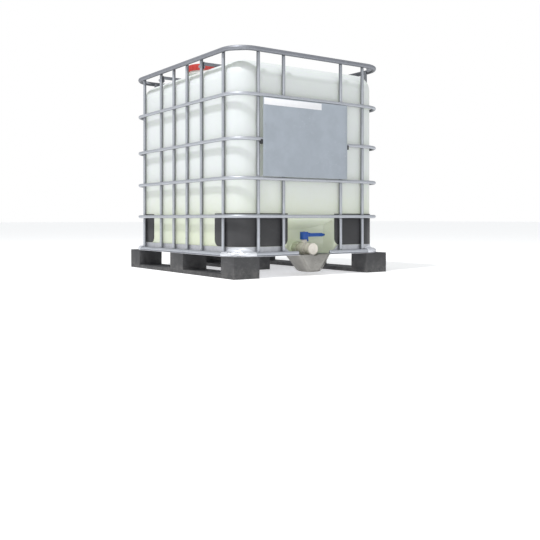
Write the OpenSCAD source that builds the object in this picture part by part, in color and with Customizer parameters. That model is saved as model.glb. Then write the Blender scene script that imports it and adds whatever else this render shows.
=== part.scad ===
// Caged intermediate bulk container: a translucent bottle in a welded tube cage on a pallet.
// Millimetres, +Z up. The origin is the centre of the footprint, on the ground.
// The valve is on the -Y side, and +Y is the long direction.

/* [Overall] */
// Width of the pallet, across the valve side
overall_width = 1000; // [920:10:1200]
// Length of the pallet, front to rear
overall_length = 1200; // [1120:10:1440]
// Height from the ground to the top of the cage
overall_height = 1150; // [960:10:1380]

/* [Pallet] */
// Height of the feet with their runners
pallet_height = 108; // [95:1:130]
// Thickness of the runners under the feet
skid_thickness = 20; // [12:1:26]
// Width of a foot and of its runner
foot_width = 147; // [120:1:160]
// Length of a corner foot, front to rear
foot_length = 124; // [110:1:150]
// Length of a middle foot, front to rear
middle_foot_length = 150; // [120:1:180]
// Wall of the moulded feet
foot_wall = 5; // [3:0.5:8]

/* [Base pan] */
// Thickness of the pan and of the valve well
sheet = 2; // [1:0.25:3]
// Height of the upstand round the bottle
pan_wall_height = 45; // [30:1:60]
// Depth of the pressed stiffening channels
channel_depth = 6; // [3:1:8]
// Width of a stiffening channel
channel_width = 60; // [40:1:80]

/* [Cage] */
// Diameter of the uprights and of the middle hoops
tube_d = 18; // [14:1:20]
// Diameter of the top rim
top_rim_d = 25; // [20:1:30]
// Diameter of the bottom rim
bottom_rim_d = 20; // [16:1:24]
// Corner radius of the hoops, at the tube's centreline
cage_corner_r = 120; // [100:1:140]
// Depth of the saddle that each hoop presses into an upright
saddle_depth = 4; // [2:0.5:6]
// Heights of the four middle hoops as shares of the cage height
hoop_shares = [0.185, 0.371, 0.562, 0.779]; // [0.15:0.001:0.85]
// Places of the front and rear uprights, from the middle
front_upright_x = [189, 344]; // [165:1:350]
// Places of the side uprights, from the middle
side_upright_y = [77, 235, 457]; // [60:1:460]
// Thickness of the corner gussets
gusset_thickness = 3; // [2:0.5:5]
// Length of a gusset's two straight sides
gusset_leg = 128; // [90:1:128]
// Diameter of the two bars over the bottle
top_bar_d = 18; // [14:1:20]

/* [Bottle] */
// Wall of the bottle
bottle_wall = 3; // [2:0.5:5]
// Radius of the shoulder
shoulder_r = 92; // [60:1:95]
// Radius round the bottom
bottom_r = 62; // [50:1:70]
// Gap between the bottle and the pan's wall
bottle_gap = 1; // [0.5:0.1:5]
// Bore of the fill neck
fill_bore = 176; // [140:1:190]
// Place of the fill neck, from the middle towards -X
fill_offset = 318; // [250:1:325]
// Height of the fill neck over the bottle's top
fill_neck_height = 38; // [30:1:40]
// Thickness of the corner guards
guard_thickness = 3; // [2:0.1:4]
// Height of a corner guard over the pan's wall
guard_height = 167; // [120:1:200]
// Width of a guard across the front
guard_front = 307; // [250:1:310]
// Width of a guard along the side
guard_side = 207; // [150:1:260]

/* [Valve] */
// Height of the outlet over the pallet
outlet_rise = 29; // [26:1:36]
// Bore of the outlet
outlet_bore = 34; // [25:1:34]
// Diameter of the ball
ball_d = 52; // [50:1:54]
// Outer diameter of the valve body round the ball
valve_body_d = 70; // [68:1:76]
// Distance from the cage front to the stem
stem_inset = 100; // [95:1:110]
// Length of the lever from the stem's axis to its tip
lever_length = 140; // [100:1:145]
// Diameter of the hub
hub_d = 45; // [40:1:50]
// Outer diameter of the outlet cap
cap_d = 64; // [60:1:70]

/* [Label plate] */
// Width of the plate
label_width = 546; // [400:1:560]
// Sideways place of the plate's middle
label_offset = -57; // [-70:1:60]
// Gap between the plate and the hoops above and below it
label_margin = 1; // [0.5:0.5:10]

/* [Hidden] */
$fn = 64;

// Clearances: between pieces that turn on each other, and between pieces that only lie together
turn_gap = 0.3;
lay_gap = 0.3;
stem_gap = 0.05;

half_x = overall_width / 2;
half_y = overall_length / 2;

// Heights
floor_top = pallet_height + sheet;
bottom_rim_z = floor_top + bottom_rim_d / 2;
top_rim_z = overall_height - top_rim_d / 2;
cage_height = top_rim_z - bottom_rim_z;
hoop_z = [for (share = hoop_shares) bottom_rim_z + share * cage_height];

// Centrelines of the rings and uprights, from the middle
hoop_inset = 2;
hoop_x = half_x - hoop_inset - tube_d / 2;
hoop_y = half_y - hoop_inset - tube_d / 2;
top_rim_x = half_x - top_rim_d / 2;
top_rim_y = half_y - top_rim_d / 2;
bottom_rim_inset = 2;
bottom_rim_x = half_x - bottom_rim_inset - bottom_rim_d / 2;
bottom_rim_y = half_y - bottom_rim_inset - bottom_rim_d / 2;
upright_x = hoop_x - tube_d + saddle_depth;
upright_y = hoop_y - tube_d + saddle_depth;
rim_gap_half = 107;

// Bottle and pan, inside the uprights
cage_inner_x = upright_x - tube_d / 2;
cage_inner_y = upright_y - tube_d / 2;
pan_gap = 1;
pan_x = cage_inner_x - pan_gap;
pan_y = cage_inner_y - pan_gap;
pan_corner_r = pan_x - (bottom_rim_x - cage_corner_r);
pan_wall_top = floor_top + pan_wall_height;
bottle_inset = max(sheet + bottle_gap, guard_thickness + 2 * lay_gap - pan_gap);
bottle_x = pan_x - bottle_inset;
bottle_y = pan_y - bottle_inset;
bottle_corner_r = pan_corner_r - bottle_inset;
bottle_top = overall_height - 50;

// Valve: everything is placed from the stem's axis and the outlet's axis
stem_y = -(half_y - stem_inset);
outlet_z = pallet_height + outlet_rise;
ball_r = ball_d / 2;
bore_r = outlet_bore / 2;
seat_y = 19;
seat_depth = 6;
seat_r = ball_r - 2;
body_r = valve_body_d / 2;
body_half = ball_r + 1;
flange_r = 29.5;
flange_y = stem_y + 39;
flange_depth = 6;
gasket_depth = 3;
neck_end_y = flange_y + flange_depth + gasket_depth;
neck_r = flange_r + 0.5;
neck_length = 27;
pocket_back_y = neck_end_y + neck_length;
nut_r = neck_r + 6.5;
nut_lip = 4.7;
outlet_end_y = stem_y - 72.5;
outlet_r = 26;
cap_wall = 4;
stem_r = 8;
bonnet_r = 15;
hub_z = outlet_z + body_r + 14;
hub_height = 40;
lever_depth = 22;
lever_z = hub_z + 14;
handle_screw_z = hub_z + hub_height;

// Pocket in the bottle's lower front, and the well under it
pocket_half = lever_length + 12;
pocket_back_half = 62;
pocket_wall_y = stem_y + 20;
pocket_top_front = 300;
pocket_top_back = 262;
well_z = 19;
well_back_y = pocket_back_y + 7;
well_top = [[-97, -half_y + 4], [97, -half_y + 4], [130, -half_y + 90], [62, well_back_y],
            [-62, well_back_y], [-130, -half_y + 90]];
well_bottom = [[-38, -half_y + 10], [38, -half_y + 10], [48, -half_y + 70], [40, -half_y + 120],
               [-40, -half_y + 120], [-48, -half_y + 70]];
well_flange = 12;

// Fill neck
fill_r = fill_bore / 2;
fill_wall = 5;
lid_gap = 0.6;
lid_wall = 8;
lid_r = fill_r + fill_wall + lid_gap + lid_wall;
lid_gasket_depth = 3;
fill_neck_top = bottle_top + fill_neck_height + 2;
lid_roof = 6.5;

// Fasteners
screw_r = 3;
bolt_r = 4;
bolt_head_r = 7.5;
bolt_head_h = 5.3;
tab_height = 38;
tab_thickness = 3;
tab_width = 24;
top_bar_z = bottle_top + top_bar_d / 2 + 2;
bar_bolt_z = top_bar_z - top_bar_d / 2 - bolt_head_r - 0.5;
rim_screw_x = bottom_rim_x - cage_corner_r - 7;

skid_screw_recess = 8;
skid_screw_head_r = 6;
skid_screw_length = skid_thickness - skid_screw_recess + 30;

// Middles of the feet, and the bolts beside the corner feet's bosses
foot_boss_r = 10;
side_foot_x = half_x - foot_width / 2;
corner_screw_y = half_y - foot_length / 2;
side_screw_ys = [-corner_screw_y, 0, corner_screw_y];
centre_screw_ys = [0, corner_screw_y];
pan_bolt_head_r = 9;
pan_bolt_head_h = 1.6;
pan_bolt_x = side_foot_x - foot_boss_r - bolt_head_r - 1;
// The heads lie under the round of the bottle's foot, where it is higher than they are
foot_rise = pan_bolt_head_h + 0.4;
foot_round_reach = bottom_r - sqrt(2 * bottom_r * foot_rise - foot_rise * foot_rise);
pan_bolt_y = bottle_y + pan_bolt_head_r - foot_round_reach;
pan_nut_h = 6.5;

// Stiffening channels, clear of the middle feet
channel_pitch = 165;
channel_ys = [for (i = [-2:2]) i * channel_pitch + 20];
channel_half = half_x - 170;

// ---------- shapes ----------

// Closed tube ring in the XY plane with round corners, by centreline half sizes
module ring(hx, hy, d) {
    for (s = [-1, 1]) {
        translate([0, s * hy, 0]) rotate([0, 90, 0])
            cylinder(h = 2 * (hx - cage_corner_r), d = d, center = true);
        translate([s * hx, 0, 0]) rotate([90, 0, 0])
            cylinder(h = 2 * (hy - cage_corner_r), d = d, center = true);
    }
    for (sx = [0, 1], sy = [0, 1])
        mirror([sx, 0, 0]) mirror([0, sy, 0])
            translate([hx - cage_corner_r, hy - cage_corner_r, 0])
                rotate_extrude(angle = 90) translate([cage_corner_r, 0]) circle(d = d);
}

// Rectangle with round corners, centred
module round_rect(hx, hy, r) {
    square([2 * hx, 2 * (hy - r)], center = true);
    square([2 * (hx - r), 2 * hy], center = true);
    for (sx = [-1, 1], sy = [-1, 1]) translate([sx * (hx - r), sy * (hy - r)]) circle(r = r);
}

// Outline from z0 to z1 with one radius at the top and another at the bottom
module side_outline(h, z0, z1, r_top, r_bottom) {
    translate([-h, z0 + r_bottom]) square([2 * h, z1 - z0 - r_top - r_bottom]);
    translate([-(h - r_bottom), z0]) square([2 * (h - r_bottom), r_bottom]);
    translate([-(h - r_top), z1 - r_top]) square([2 * (h - r_top), r_top]);
    for (s = [-1, 1]) {
        translate([s * (h - r_bottom), z0 + r_bottom]) circle(r = r_bottom);
        translate([s * (h - r_top), z1 - r_top]) circle(r = r_top);
    }
}

// The bottle's form, grown outwards by g
module bottle_form(g) {
    hx = bottle_x + g;
    hy = bottle_y + g;
    z0 = floor_top - g;
    z1 = bottle_top + g;
    intersection() {
        translate([0, 0, z0]) linear_extrude(z1 - z0) round_rect(hx, hy, bottle_corner_r + g);
        rotate([90, 0, 0]) linear_extrude(2 * hy, center = true)
            side_outline(hx, z0, z1, shoulder_r + g, bottom_r + g);
        rotate([90, 0, 90]) linear_extrude(2 * hx, center = true)
            side_outline(hy, z0, z1, shoulder_r + g, bottom_r + g);
    }
}

// The recess for the valve in the bottle's front, grown into the bottle by g
module pocket_form(g) {
    front = -half_y - 10;
    intersection() {
        translate([0, 0, pallet_height - 20]) linear_extrude(pocket_top_front)
            polygon([[-pocket_half - g, front], [-pocket_half - g, pocket_wall_y + g],
                     [-pocket_back_half - g, pocket_back_y + g], [pocket_back_half + g, pocket_back_y + g],
                     [pocket_half + g, pocket_wall_y + g], [pocket_half + g, front]]);
        rotate([90, 0, 90]) linear_extrude(3 * pocket_half, center = true)
            polygon([[front, pallet_height - 20], [pocket_back_y + g, pallet_height - 20],
                     [pocket_back_y + g, pocket_top_back + g], [front, pocket_top_front + g]]);
    }
}

// Ring about the outlet's axis, from y to y + depth
module outlet_ring(y, depth, r_out, r_in) {
    translate([0, y, outlet_z]) rotate([-90, 0, 0]) difference() {
        cylinder(h = depth, r = r_out);
        translate([0, 0, -1]) cylinder(h = depth + 2, r = r_in);
    }
}

// Rod about the outlet's axis
module outlet_rod(y, depth, r) {
    translate([0, y, outlet_z]) rotate([-90, 0, 0]) cylinder(h = depth, r = r);
}

// Screw along -Z with its head's underside at the origin
module pan_screw(length, r, head_r, head_h) {
    translate([0, 0, -length]) cylinder(h = length, r = r);
    cylinder(h = head_h, r = head_r);
}

module hex_prism(r, h) {
    cylinder(h = h, r = r, $fn = 6);
}

// ---------- pallet ----------

// Runner from y0 to y1, with a counterbored hole for each screw
module skid(y0, y1, screw_ys) {
    difference() {
        translate([-foot_width / 2, y0, 0]) cube([foot_width, y1 - y0, skid_thickness]);
        for (y = screw_ys) translate([0, y, -1]) {
            cylinder(h = skid_thickness + 2, r = screw_r + 0.2);
            cylinder(h = 1 + skid_screw_recess, r = skid_screw_head_r + 0.5);
        }
    }
}
module side_skid(s) {
    color([0.28, 0.28, 0.29]) translate([s * side_foot_x, 0, 0]) skid(-half_y, half_y, side_screw_ys);
}
module skid_left() { side_skid(-1); }
module skid_right() { side_skid(1); }
module skid_centre() {
    color([0.28, 0.28, 0.29]) skid(-middle_foot_length / 2, half_y, centre_screw_ys);
}

// Hollow moulded foot, open below, with a boss for the runner's screw
module foot(length) {
    h = pallet_height - skid_thickness;
    translate([0, 0, skid_thickness]) difference() {
        union() {
            difference() {
                translate([-foot_width / 2, -length / 2, 0]) cube([foot_width, length, h]);
                translate([-foot_width / 2 + foot_wall, -length / 2 + foot_wall, -1])
                    cube([foot_width - 2 * foot_wall, length - 2 * foot_wall, h - foot_wall + 1]);
            }
            cylinder(h = h - 1, r = foot_boss_r);
        }
        translate([0, 0, -1]) cylinder(h = 36, r = screw_r);
    }
}

module corner_feet() {
    color([0.3, 0.3, 0.31]) for (sx = [-1, 1], sy = [-1, 1]) difference() {
        translate([sx * side_foot_x, sy * corner_screw_y, 0]) foot(foot_length);
        translate([sx * pan_bolt_x, sy * pan_bolt_y, pallet_height - foot_wall - 1])
            cylinder(h = foot_wall + 2, r = bolt_r);
        translate([sx * rim_screw_x, sy * bottom_rim_y, pallet_height - foot_wall - 1])
            cylinder(h = foot_wall + 2, r = screw_r);
    }
}
module side_feet() {
    color([0.3, 0.3, 0.31]) for (s = [-1, 1]) difference() {
        translate([s * side_foot_x, 0, 0]) foot(middle_foot_length);
        translate([s * bottom_rim_x, 0, pallet_height - foot_wall - 1])
            cylinder(h = foot_wall + 2, r = screw_r);
    }
}
module centre_feet() {
    color([0.3, 0.3, 0.31]) {
        foot(middle_foot_length);
        difference() {
            translate([0, corner_screw_y, 0]) foot(foot_length);
            translate([0, bottom_rim_y, pallet_height - foot_wall - 1])
                cylinder(h = foot_wall + 2, r = screw_r);
        }
    }
}

module skid_screws() {
    color([0.7, 0.7, 0.72]) {
        for (s = [-1, 1], y = side_screw_ys)
            translate([s * side_foot_x, y, skid_screw_recess]) skid_screw();
        for (y = centre_screw_ys) translate([0, y, skid_screw_recess]) skid_screw();
    }
}
module skid_screw() {
    mirror([0, 0, 1]) pan_screw(skid_screw_length, screw_r, skid_screw_head_r, 4);
}

// ---------- base pan ----------

wall_gap_half = well_top[2][0] - 4;
wall_gap_slope = 52;

// Opening over the valve well, through the pan's sheet
module well_opening(z0, z1) {
    translate([0, 0, z0]) linear_extrude(z1 - z0) {
        polygon(well_top);
        translate([-well_top[1][0], -half_y - 1]) square([2 * well_top[1][0], 20]);
    }
}

module base_pan() {
    color([0.8, 0.81, 0.83]) difference() {
        union() {
            translate([0, 0, pallet_height]) linear_extrude(sheet)
                round_rect(half_x - 1, half_y - 1, cage_corner_r + bottom_rim_d / 2);
            translate([0, 0, pallet_height]) linear_extrude(pan_wall_height + sheet) difference() {
                round_rect(pan_x, pan_y, pan_corner_r);
                round_rect(pan_x - sheet, pan_y - sheet, pan_corner_r - sheet);
            }
            for (y = channel_ys) if (abs(y) > middle_foot_length / 2 + channel_width / 2)
                translate([-channel_half, y - channel_width / 2, pallet_height - channel_depth])
                    cube([2 * channel_half, channel_width, channel_depth + 1]);
        }
        for (y = channel_ys) if (abs(y) > middle_foot_length / 2 + channel_width / 2)
            translate([0, y, pallet_height - channel_depth + sheet]) linear_extrude(channel_depth + sheet)
                square([2 * (channel_half - sheet), channel_width - 2 * sheet], center = true);
        well_opening(pallet_height - 1, floor_top + 1);
        // Gap in the wall for the valve, wider at the top
        translate([0, -half_y + 60, 0]) rotate([90, 0, 0]) linear_extrude(60)
            polygon([[-wall_gap_half, floor_top], [wall_gap_half, floor_top],
                     [wall_gap_half + wall_gap_slope, pan_wall_top + 1],
                     [-wall_gap_half - wall_gap_slope, pan_wall_top + 1]]);
        for (sx = [-1, 1], sy = [-1, 1]) {
            translate([sx * pan_bolt_x, sy * pan_bolt_y, pallet_height - 1])
                cylinder(h = sheet + 2, r = bolt_r);
            translate([sx * rim_screw_x, sy * bottom_rim_y, pallet_height - 1])
                cylinder(h = sheet + 2, r = screw_r);
        }
        for (s = [-1, 1])
            translate([s * bottom_rim_x, 0, pallet_height - 1]) cylinder(h = sheet + 2, r = screw_r);
        translate([0, bottom_rim_y, pallet_height - 1]) cylinder(h = sheet + 2, r = screw_r);
        well_rivet_places() translate([0, 0, -sheet - 1]) cylinder(h = sheet + 2, r = well_rivet_r);
    }
}

// Pressed plate over the bottom rim at a corner: it hooks over the tube and stands up by the pan's wall
plate_thickness = 1.5;
plate_gap = 0.1;
ear_height = 30;
ear_gap = 1;
module corner_plate_profile() {
    r0 = bottom_rim_d / 2 + plate_gap;
    r1 = r0 + plate_thickness;
    drop = 9;
    translate([cage_corner_r, bottom_rim_d / 2]) {
        intersection() {
            difference() {
                circle(r = r1);
                circle(r = r0);
            }
            translate([-r1, 0]) square([2 * r1, r1]);
        }
        translate([r0, -drop]) square([plate_thickness, drop]);
    }
    flange_r0 = pan_corner_r + ear_gap;
    translate([flange_r0, bottom_rim_d / 2 + 3])
        square([cage_corner_r - r0 + 0.5 - flange_r0, plate_thickness]);
    // Ear that stands up outside the pan's wall
    translate([flange_r0, bottom_rim_d / 2 + 3]) square([plate_thickness, ear_height]);
}
module pan_corner_plates() {
    color([0.86, 0.87, 0.88]) for (sx = [0, 1], sy = [0, 1])
        mirror([sx, 0, 0]) mirror([0, sy, 0])
            translate([bottom_rim_x - cage_corner_r, bottom_rim_y - cage_corner_r, floor_top])
                rotate_extrude(angle = 90) corner_plate_profile();
}

module pan_bolts() {
    color([0.7, 0.7, 0.72]) for (sx = [-1, 1], sy = [-1, 1])
        translate([sx * pan_bolt_x, sy * pan_bolt_y, floor_top]) {
            pan_screw(foot_wall + sheet + pan_nut_h + 2, bolt_r, pan_bolt_head_r, pan_bolt_head_h);
            translate([0, 0, -sheet - foot_wall - pan_nut_h]) hex_prism(bolt_head_r, pan_nut_h);
        }
}

// Bent sheet scoop that hangs below the pan at the front
module well_solid(top, bottom, z0, z1) {
    hull() {
        translate([0, 0, z1 - 0.1]) linear_extrude(0.1) polygon(top);
        translate([0, 0, z0]) linear_extrude(0.1) polygon(bottom);
    }
}
function inset_points(points, t, middle) =
    [for (p = points) [p[0] - sign(p[0]) * t, p[1] - sign(p[1] - middle) * t]];
well_middle = -half_y + 80;

module valve_well() {
    color([0.62, 0.62, 0.62]) difference() {
        union() {
            well_solid(well_top, well_bottom, well_z, pallet_height);
            translate([0, 0, pallet_height - sheet]) linear_extrude(sheet) difference() {
                offset(delta = well_flange) polygon(well_top);
                translate([-half_x, -half_y - 40]) square([2 * half_x, 40 + 2]);
            }
        }
        translate([0, 0, 0.1]) well_solid(
            inset_points(well_top, sheet, well_middle), inset_points(well_bottom, sheet, well_middle),
            well_z + sheet, pallet_height + 1);
        // Round dip in the front lip, so that the cap clears it
        outlet_rod(-half_y, 20, cap_d / 2 + 2);
        well_rivet_places() translate([0, 0, -sheet - 5]) cylinder(h = 10, r = well_rivet_r);
    }
}

// Rivets through the pan's sheet and the well's flange, clear of the bottle
well_rivet_r = 2;
module well_rivet_places() {
    side_middle = (well_top[2] + well_top[3]) / 2;
    for (s = [-1, 1]) {
        translate([s * (well_top[2][0] + well_flange / 2), well_top[2][1], floor_top]) children();
        translate([s * (side_middle[0] + 5), side_middle[1] + 4, floor_top]) children();
    }
}
module well_rivets() {
    color([0.7, 0.7, 0.72]) well_rivet_places() {
        pan_screw(2 * sheet, well_rivet_r, 4, 1.2);
        translate([0, 0, -2 * sheet - 1.2]) cylinder(h = 1.2, r = 3.4);
    }
}

// ---------- cage ----------

module top_rim() {
    color([0.5, 0.51, 0.54]) translate([0, 0, top_rim_z]) ring(top_rim_x, top_rim_y, top_rim_d);
}
module hoop(i) {
    color([0.62, 0.64, 0.67]) translate([0, 0, hoop_z[i]]) ring(hoop_x, hoop_y, tube_d);
}
module hoop_base() { hoop(0); }
module hoop_lower() { hoop(1); }
module hoop_middle() { hoop(2); }
module hoop_upper() { hoop(3); }

module rim_screw_places() {
    for (sx = [-1, 1], sy = [-1, 1]) translate([sx * rim_screw_x, sy * bottom_rim_y, 0]) children();
    for (s = [-1, 1]) translate([s * bottom_rim_x, 0, 0]) children();
    translate([0, bottom_rim_y, 0]) children();
}
module bottom_rim() {
    color([0.8, 0.81, 0.82]) difference() {
        translate([0, 0, bottom_rim_z]) ring(bottom_rim_x, bottom_rim_y, bottom_rim_d);
        translate([-rim_gap_half, -half_y - 1, floor_top - 1])
            cube([2 * rim_gap_half, 50, bottom_rim_d + 2]);
        rim_screw_places() translate([0, 0, floor_top - 1]) cylinder(h = bottom_rim_d + 2, r = screw_r);
    }
}

// Domed plugs in the two open ends of the bottom rim
module rim_plugs() {
    plug_depth = 4;
    color([0.75, 0.76, 0.78]) for (s = [-1, 1])
        translate([s * rim_gap_half, -bottom_rim_y, bottom_rim_z]) rotate([0, -s * 90, 0])
            cylinder(h = plug_depth, r1 = bottom_rim_d / 2 - 0.5, r2 = bottom_rim_d / 2 - 3);
}
module rim_screws() {
    color([0.7, 0.7, 0.72]) rim_screw_places()
        translate([0, 0, floor_top + bottom_rim_d])
            pan_screw(bottom_rim_d + sheet + foot_wall + 8, screw_r, 5.5, 3);
}

// One upright at the middle of a ring's side, running along Z at y = -offset.
// Every ring that crosses it leaves a saddle.
module upright(offset, hoop_offset, rim_offset, base_offset) {
    difference() {
        translate([0, -offset, bottom_rim_z]) cylinder(h = cage_height, d = tube_d);
        for (z = hoop_z) upright_saddle(hoop_offset, z, tube_d);
        upright_saddle(rim_offset, top_rim_z, top_rim_d);
        upright_saddle(base_offset, bottom_rim_z, bottom_rim_d);
    }
}
module upright_saddle(offset, z, d) {
    translate([0, -offset, z]) rotate([0, 90, 0]) cylinder(h = 3 * tube_d, d = d, center = true);
}
module end_uprights() {
    color([0.6, 0.62, 0.65]) for (s = [-1, 1], x = front_upright_x)
        translate([s * x, 0, 0]) upright(upright_y, hoop_y, top_rim_y, bottom_rim_y);
}
module uprights_front() { end_uprights(); }
module uprights_rear() { rotate([0, 0, 180]) end_uprights(); }
module side_uprights() {
    color([0.6, 0.62, 0.65]) difference() {
        for (s = [-1, 1], y = side_upright_y)
            translate([0, s * y, 0]) rotate([0, 0, 90]) upright(upright_x, hoop_x, top_rim_x, bottom_rim_x);
        for (s = [-1, 1])
            translate([upright_x, s * side_upright_y[1], bar_bolt_z]) rotate([0, 90, 0])
                cylinder(h = 2 * tube_d, r = bolt_r, center = true);
    }
}
module uprights_right() { side_uprights(); }
module uprights_left() { mirror([1, 0, 0]) side_uprights(); }

// Flat plate inside each corner of the top rim
module corner_gussets() {
    straight_x = top_rim_x - cage_corner_r;
    straight_y = top_rim_y - cage_corner_r;
    color([0.5, 0.5, 0.53]) for (sx = [0, 1], sy = [0, 1]) mirror([sx, 0, 0]) mirror([0, sy, 0])
        difference() {
            translate([0, 0, top_rim_z - 5]) linear_extrude(gusset_thickness)
                polygon([[top_rim_x - gusset_leg, top_rim_y], [top_rim_x - 20, top_rim_y - 20],
                         [top_rim_x, top_rim_y - gusset_leg]]);
            // The rim's own room, and everything outside it
            translate([0, 0, top_rim_z]) {
                translate([straight_x, straight_y, 0]) rotate_extrude(angle = 90) {
                    translate([cage_corner_r, 0]) circle(d = top_rim_d);
                    translate([cage_corner_r, -top_rim_d]) square([80, 2 * top_rim_d]);
                }
                translate([0, top_rim_y, 0]) rotate([0, 90, 0]) cylinder(h = straight_x, d = top_rim_d);
                translate([top_rim_x, 0, 0]) rotate([-90, 0, 0]) cylinder(h = straight_y, d = top_rim_d);
                translate([0, top_rim_y, -top_rim_d]) cube([straight_x, 20, 2 * top_rim_d]);
                translate([top_rim_x, 0, -top_rim_d]) cube([20, straight_y, 2 * top_rim_d]);
            }
        }
}

// Bar across the top, with a bolted tab at each end
tab_z0 = top_bar_z + top_bar_d / 2 - tab_height;
module top_bar(y) {
    color([0.5, 0.51, 0.54]) translate([0, y, 0]) {
        translate([0, 0, top_bar_z]) rotate([0, 90, 0])
            cylinder(h = 2 * (cage_inner_x - tab_thickness), d = top_bar_d, center = true);
        for (s = [-1, 1]) difference() {
            translate([s * (cage_inner_x - tab_thickness / 2) - tab_thickness / 2, -tab_width / 2, tab_z0])
                cube([tab_thickness, tab_width, tab_height]);
            translate([s * cage_inner_x, 0, bar_bolt_z]) rotate([0, 90, 0])
                cylinder(h = 4 * tab_thickness, r = bolt_r, center = true);
        }
    }
}
module top_bar_front() { top_bar(-side_upright_y[1]); }
module top_bar_rear() { top_bar(side_upright_y[1]); }

module bar_bolt_places() {
    for (s = [-1, 1], m = [0, 1]) mirror([m, 0, 0])
        translate([0, s * side_upright_y[1], bar_bolt_z]) rotate([0, 90, 0]) children();
}
bar_nut_depth = 6.5;
module top_bar_bolts() {
    bolt_end = cage_inner_x - tab_thickness - bar_nut_depth - 2;
    color([0.7, 0.7, 0.72]) bar_bolt_places() {
        translate([0, 0, bolt_end]) cylinder(h = upright_x + tube_d / 2 - bolt_end, r = bolt_r);
        translate([0, 0, upright_x + tube_d / 2]) hex_prism(bolt_head_r, bolt_head_h);
    }
}
module top_bar_nuts() {
    color([0.7, 0.7, 0.72]) bar_bolt_places()
        translate([0, 0, cage_inner_x - tab_thickness - bar_nut_depth]) difference() {
            hex_prism(bolt_head_r, bar_nut_depth);
            translate([0, 0, -1]) cylinder(h = bar_nut_depth + 2, r = bolt_r);
        }
}

// ---------- label plate ----------

label_y = -(hoop_y + tube_d / 2);
label_thickness = 1;
label_z0 = hoop_z[1] + tube_d / 2 + label_margin;
label_z1 = hoop_z[3] - tube_d / 2 - label_margin;
label_x0 = label_offset - label_width / 2;
strip_width = 365;
strip_height = 34;
strip_thickness = 0.3;
clip_width = 16;
clip_lap = 4;
clip_height = 24;
rivet_r = 4;
rivet_inset = 14;
rivet_rises = [-60, 70];

module label_plate() {
    color([0.64, 0.67, 0.71]) translate([label_x0, label_y - label_thickness, label_z0])
        cube([label_width, label_thickness, label_z1 - label_z0]);
}
module label_strip() {
    color([0.92, 0.92, 0.93])
        translate([label_x0 + 5, label_y - label_thickness - strip_thickness, label_z1 - 4 - strip_height])
            cube([strip_width, strip_thickness, strip_height]);
}
// Hooks at the plate's two sides, round the hoop behind it
module label_clips() {
    color([0.2, 0.2, 0.21]) for (x = [label_x0 - clip_width + clip_lap, label_x0 + label_width - clip_lap])
        difference() {
            translate([x, label_y, hoop_z[2] - clip_height]) cube([clip_width, tube_d * 0.7, clip_height]);
            translate([x - 1, -hoop_y, hoop_z[2]]) rotate([0, 90, 0])
                cylinder(h = clip_width + 2, d = tube_d + 0.1);
        }
}
module label_rivets() {
    color([0.9, 0.9, 0.9])
        for (x = [label_x0 + rivet_inset, label_x0 + label_width - rivet_inset], rise = rivet_rises)
            translate([x, label_y - label_thickness, hoop_z[2] + rise]) rotate([90, 0, 0])
                cylinder(h = 1, r = rivet_r);
}

// ---------- bottle ----------

module bottle() {
    color([0.9, 0.92, 0.93]) difference() {
        union() {
            difference() {
                bottle_form(0);
                pocket_form(0);
            }
            translate([-fill_offset, 0, bottle_top - 40])
                cylinder(h = fill_neck_top - bottle_top + 40, r = fill_r + fill_wall);
            outlet_rod(neck_end_y, neck_length + bottle_wall, neck_r);
        }
        difference() {
            bottle_form(-bottle_wall);
            pocket_form(bottle_wall);
        }
        translate([-fill_offset, 0, bottle_top - 50]) cylinder(h = 150, r = fill_r);
        outlet_rod(neck_end_y - 1, neck_length + 20, neck_r - 5);
    }
}

// Thin shell round one lower corner of the bottle
guard_z0 = pan_wall_top + 1;
guard_round = 36;
module guard_window(edge, width) {
    translate([edge - width, guard_z0]) {
        translate([guard_round, 0]) square([width + 60, guard_height]);
        translate([0, guard_round]) square([guard_round + 1, guard_height - guard_round]);
        translate([guard_round, guard_round]) circle(r = guard_round);
    }
}
module guard() {
    color([0.2, 0.2, 0.21]) intersection() {
        difference() {
            bottle_form(lay_gap + guard_thickness);
            bottle_form(lay_gap);
        }
        union() {
            translate([0, bottle_y + 60, 0]) rotate([90, 0, 0]) linear_extrude(60 + bottle_corner_r)
                guard_window(bottle_x, guard_front);
            translate([bottle_x - bottle_corner_r, 0, 0]) rotate([90, 0, 90])
                linear_extrude(60 + bottle_corner_r) guard_window(bottle_y, guard_side);
        }
    }
}
module guard_rear_right() { guard(); }
module guard_rear_left() { mirror([1, 0, 0]) guard(); }
module guard_front_right() { mirror([0, 1, 0]) guard(); }
module guard_front_left() { mirror([1, 0, 0]) mirror([0, 1, 0]) guard(); }

// ---------- lid ----------

lid_z1 = fill_neck_top + lid_gasket_depth + lid_roof;
lid_skirt = 34;
lid_ribs = 24;
module lid() {
    color([0.7, 0.2, 0.19]) translate([-fill_offset, 0, 0]) difference() {
        union() {
            translate([0, 0, lid_z1 - lid_skirt]) cylinder(h = lid_skirt, r = lid_r - 2);
            for (i = [0:lid_ribs - 1]) rotate([0, 0, i * 360 / lid_ribs])
                translate([lid_r - 6, -4, lid_z1 - lid_skirt]) cube([6, 8, lid_skirt - 3]);
        }
        translate([0, 0, lid_z1 - lid_skirt - 1])
            cylinder(h = lid_skirt - lid_roof + 1, r = fill_r + fill_wall + lid_gap);
        translate([0, 0, lid_z1 - 3]) difference() {
            cylinder(h = 4, r = fill_r - 8);
            translate([0, 0, -1]) cylinder(h = 6, r = 34);
        }
    }
}
module lid_gasket() {
    color([0.12, 0.12, 0.12]) translate([-fill_offset, 0, fill_neck_top]) difference() {
        cylinder(h = lid_gasket_depth, r = fill_r + fill_wall);
        translate([0, 0, -1]) cylinder(h = lid_gasket_depth + 2, r = fill_r);
    }
}

// ---------- valve ----------

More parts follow.
